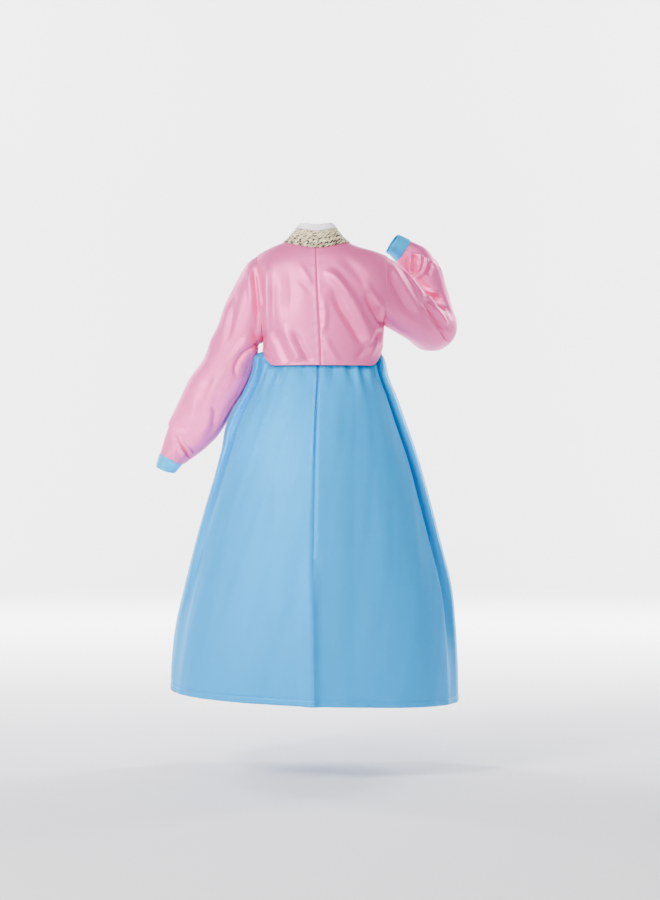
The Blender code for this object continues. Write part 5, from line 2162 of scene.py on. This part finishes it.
class Tail(NamedTuple):
    """One hanging end of the tie."""

    name: str
    root_x: float
    end_x: float
    end_z: float
    lift: float
    flat: tuple[float, float]


TAILS = (
    Tail("goreum_long_tail", -0.036, -0.050, -0.430, 0.0012, (0.036, 0.300)),
    Tail("goreum_short_tail", -0.022, -0.004, -0.370, 0.0058, (0.036, 0.236)),
)


@dataclass
class Bow:
    """The tie at the front: a knot, one loop and two hanging ends."""

    cloths: Wardrobe
    jacket: Jacket
    skirt: Skirt
    wall: float = 0.0012
    knot_x: float = -0.030
    knot_z: float = -0.128
    knot_size: tuple[float, float, float] = (0.030, 0.014, 0.032)
    loop_length: float = 0.078
    loop_half_height: float = 0.017
    loop_opening: float = 0.010
    loop_droop: float = 0.010
    loop_stand: float = 0.004
    half: float = 0.018
    steps: int = 14
    gather_top: float = 0.0022
    fold_depth: float = 0.0014
    fold_reach: float = 0.060

    def cover(self, x: float, z: float) -> float:
        """Depth of what the ribbons lie on: the jacket, or the skirt below its hem.

        Args:
            x: Where, from side to side.
            z: At what height.

        Returns:
            The distance forwards.
        """
        deepest = 0.0
        panel = self.jacket.coarse["jeogori_front_left"]
        for near in (-0.012, -0.006, 0.0, 0.006, 0.012):
            level = z + near
            if level > FORM.front_hem_z - 0.004:
                across = x - float(FORM.body["centre_x"](level))
                worn = FORM.depth(Face.FRONT, across, FORM.climb(level, across)) + panel.overlap(across)
                deepest = max(deepest, float(worn))
            if level < -0.18:
                row = {name: float(track(level)) for name, track in self.skirt.edges.items()}
                seam = row["seam_x"]
                wide = row["left_x"] - seam if x > seam else seam - row["right_x"]
                beside = abs(x - seam) / wide
                power = self.skirt.power
                gather = self.gather_top * float(fall(-level - 0.15, 0.18))
                deepest = max(deepest, row["front"] * (1 - beside**power) ** (1 / power) + gather)
        return deepest

    def knot(self) -> None:
        """Builds the knot: cloth drawn round itself, with folds running into it."""
        size = np.array(self.knot_size) / 2
        depth = max(self.cover(self.knot_x + aside, self.knot_z) for aside in (-0.012, 0.0, 0.012))
        centre = np.array([self.knot_x, -depth - ON_TOP - size[1], self.knot_z])
        around = np.linspace(0.0, 2 * math.pi, 73)[:-1][None, :]
        tall = np.linspace(-0.985, 0.985, 40)[:, None]
        slant = 0.35 * tall
        power = 3.2
        ring = (1 - np.abs(tall) ** power) ** (1 / power)
        sine, cosine = np.sin(around + slant), np.cos(around + slant)
        radius = (np.abs(sine) ** 2.6 + np.abs(cosine) ** 2.6) ** (-1 / 2.6)
        wrap = 1 - 0.07 * np.abs(np.sin(around * 3.5 + tall * 2.4)) ** 3
        wrap = wrap - 0.05 * hump((tall - 0.2) / 0.25)
        x = size[0] * radius * cosine * ring * wrap
        y = size[1] * radius * sine * ring * wrap
        outer = centre + np.stack(np.broadcast_arrays(x, y, size[2] * tall), axis=-1)
        shell = Shell("goreum_knot_cloth", outer, 0.0011, closed=True)
        dress(shell.build(self.cloths.cuff), "goreum_knot")

    def folds(self, rows: Points, out: Points, hint: Points) -> Shell:
        """Presses the folds that run out of the knot into a ribbon.

        Args:
            rows: The ribbon's fine points, along it and then across it.
            out: Distance of each row from the knot.
            hint: Its outward directions.

        Returns:
            The shell.
        """
        shell = Shell("", rows, self.wall - 0.0002, hint=hint)
        across = np.linspace(-1.0, 1.0, rows.shape[1])[None, :]
        fading = fall(out, self.fold_reach)[:, None]
        wave = np.cos(across * 7.0 + 0.8) * 0.5 - 0.5
        edge = -0.0005 * fall(1 - np.abs(across), 0.12)
        return shell.push(self.fold_depth * wave * fading + edge)

    def loop(self) -> None:
        """Builds the single loop: out from the knot over the chest, round, and back."""
        radius = self.loop_opening / 2
        straight = self.loop_length - radius
        path = [(straight * step / self.steps, 0.0) for step in range(self.steps)]
        turn = [math.pi * step / 6 for step in range(7)]
        path += [(straight + radius * math.sin(a), radius * (1 - math.cos(a))) for a in turn]
        path += [(straight * step / self.steps, 2 * radius) for step in range(self.steps - 1, -1, -1)]
        start = self.knot_x + self.knot_size[0] / 2 + SEAM
        rows = []
        for out, lift in path:
            share = out / self.loop_length
            spread = 0.35 + 0.65 * float(ease(share * 2.0))
            half = self.loop_half_height * (0.55 + 0.45 * float(ease(share * 1.8)))
            cover = self.cover(start + min(out, self.loop_length - self.loop_opening), self.knot_z)
            y = -cover - ON_TOP - self.wall - self.loop_stand * share - lift * spread
            drop = self.knot_z - self.loop_droop * share**2
            rows.append([(start + out, y, drop + half * part) for part in (-1.0, -0.4, 0.4, 1.0)])
        coarse = np.array(rows)
        hint = unit(np.cross(np.gradient(coarse, axis=0), np.array([0.0, 0.0, 1.0])))
        fine, towards = refine(coarse, 5, 8), refine(hint, 5, 8)
        out = [place for place, _ in path]
        steps = np.linspace(0, len(out) - 1, len(fine))
        shell = self.folds(fine, np.interp(steps, np.arange(len(out)), out), towards)
        shell.name = "goreum_loop_cloth"
        piece = shell.build(self.cloths.cuff)
        dress(piece, "goreum_loop")

    def tail(self, tail: Tail) -> None:
        """Builds one hanging end.

        Args:
            tail: Its sizes.
        """
        top = self.knot_z - self.knot_size[2] / 2 - SEAM
        rows = []
        for step in range(self.steps + 1):
            part = step / self.steps
            z = top + (tail.end_z - top) * part
            middle = tail.root_x + (tail.end_x - tail.root_x) * float(ease(part))
            half = self.half * (0.45 + 0.55 * float(ease(part * 3.0)))
            row = []
            for share in (-1.0, -0.4, 0.4, 1.0):
                x = middle + half * share
                row.append((x, -self.cover(x, z) - tail.lift - self.wall, z))
            rows.append(row)
        fine = refine(np.array(rows), 8, 8)
        hint = np.zeros_like(fine)
        hint[..., 1] = -1.0
        shell = self.folds(fine, top - fine[:, 0, 2], hint)
        shell.name = tail.name + "_cloth"
        dress(shell.build(self.cloths.cuff), tail.name)
        lines = [shell.seam_line(np.s_[:, column]) for column in (2, -3)]
        stitch(tail.name, lines, self.cloths.blue_thread)

    def build(self) -> None:
        """Builds the whole tie."""
        self.knot()
        self.loop()
        for tail in TAILS:
            self.tail(tail)


# --- The studio ---


class Lamp(NamedTuple):
    """One soft box."""

    name: str
    place: tuple[float, float, float]
    aim: tuple[float, float, float]
    size: float
    watts: float
    colour: Colour
    spread: float = 180.0


LAMPS = table(
    Lamp,
    ("key", (2.5, 3.0, 2.3), (0.0, 0.0, -0.40), 1.0, 220.0, (1.0, 0.985, 0.97)),
    ("soft_key", (1.5, 4.3, 1.0), (0.0, 0.0, -0.40), 1.2, 100.0, (1.0, 0.99, 0.98)),
    ("side_key", (3.4, 3.2, 0.3), (0.0, 0.0, -0.45), 0.8, 75.0, (1.0, 0.99, 0.98)),
    ("top", (-0.5, 2.2, 2.5), (0.0, 0.0, -0.20), 1.2, 44.0, (1.0, 1.0, 1.0)),
    ("sleeve_fill", (-0.9, 3.4, 0.1), (0.27, 0.0, -0.31), 0.16, 0.55, (1.0, 0.96, 0.94), 6.5),
    ("front_key", (-2.0, -3.6, 0.9), (0.0, 0.0, -0.40), 1.4, 36.0, (1.0, 0.99, 0.98)),
    ("backdrop_left", (3.4, -3.4, 2.6), (1.2, -7.2, -0.2), 2.0, 1500.0, (0.99, 0.99, 1.0)),
    ("backdrop_right", (-3.4, -3.4, 2.6), (-1.2, -7.2, -0.2), 2.0, 1500.0, (0.99, 0.99, 1.0)),
)


@dataclass
class Set:
    """The pale floor and backdrop, the lamps and the camera."""

    floor_z: float = -1.02
    radius: float = 5.2
    sweep: float = 2.0
    wall_top: float = 5.0
    camera_place: tuple[float, float, float] = (-0.02535, 4.2, -0.39975)
    lens: float = 86.2

    def floor(self) -> None:
        """A round floor that sweeps up into a backdrop on all sides."""
        rings = [(self.radius * step / 8, self.floor_z) for step in range(1, 9)]
        for step in range(1, 15):
            bend = math.pi / 2 * step / 14
            out, up = self.sweep * math.sin(bend), self.sweep * (1 - math.cos(bend))
            rings.append((self.radius + out, self.floor_z + up))
        rings.append((self.radius + self.sweep, self.wall_top))
        around = np.linspace(0, 2 * math.pi, 97)[:-1]
        points = [(0.0, 0.0, self.floor_z)]
        faces: list[tuple[int, ...]] = []
        for radius, z in rings:
            points += [(radius * math.cos(angle), radius * math.sin(angle), z) for angle in around]
        count = len(around)
        for index in range(count):
            after = (index + 1) % count
            faces.append((0, 1 + index, 1 + after))
            for ring in range(len(rings) - 1):
                near, far = 1 + ring * count, 1 + (ring + 1) * count
                faces.append((near + index, far + index, far + after, near + after))
        mesh = bpy.data.meshes.new("studio_floor")
        mesh.from_pydata(points, [], faces)
        mesh.shade_smooth()
        mesh.materials.append(Studio("studio_paper", (0.86, 0.86, 0.885)).make())
        put("studio_floor", mesh)

    def lamps(self) -> None:
        """Soft boxes round the garment, and a pale sky."""
        for lamp in LAMPS:
            light = bpy.data.lights.new(lamp.name, "AREA")
            light.shape = "SQUARE"
            light.size = lamp.size
            light.energy = lamp.watts
            light.color = lamp.colour
            light.spread = math.radians(lamp.spread)
            made = put(lamp.name, light)
            made.location = lamp.place
            way = Vector(lamp.aim) - Vector(lamp.place)
            made.rotation_euler = way.to_track_quat("-Z", "Y").to_euler()
        world = bpy.data.worlds.new("studio")
        world.use_nodes = True
        world.node_tree.nodes["Background"].inputs["Color"].default_value = (0.93, 0.94, 1.0, 1.0)
        world.node_tree.nodes["Background"].inputs["Strength"].default_value = 0.12
        bpy.context.scene.world = world

    def camera(self) -> None:
        """A level camera behind the wearer."""
        data = bpy.data.cameras.new("camera")
        data.sensor_fit = "VERTICAL"
        data.sensor_height = 36.0
        data.lens = self.lens
        data.clip_end = 60.0
        made = put("camera", data)
        made.location = self.camera_place
        made.rotation_euler = (math.pi / 2, 0.0, math.pi)
        bpy.context.scene.camera = made

    def build(self) -> None:
        """Builds the whole set."""
        self.floor()
        self.lamps()
        self.camera()


def main() -> None:
    """Builds the garment and the set."""
    logging.basicConfig(level=logging.INFO, format="%(name)s: %(message)s")
    Set().build()
    cloths = Wardrobe()
    jacket = Jacket(cloths)
    jacket.build()
    skirt = Skirt(cloths)
    skirt.build()
    Collar(cloths, jacket).build()
    Bow(cloths, jacket, skirt).build()


if __name__ == "__main__":
    main()
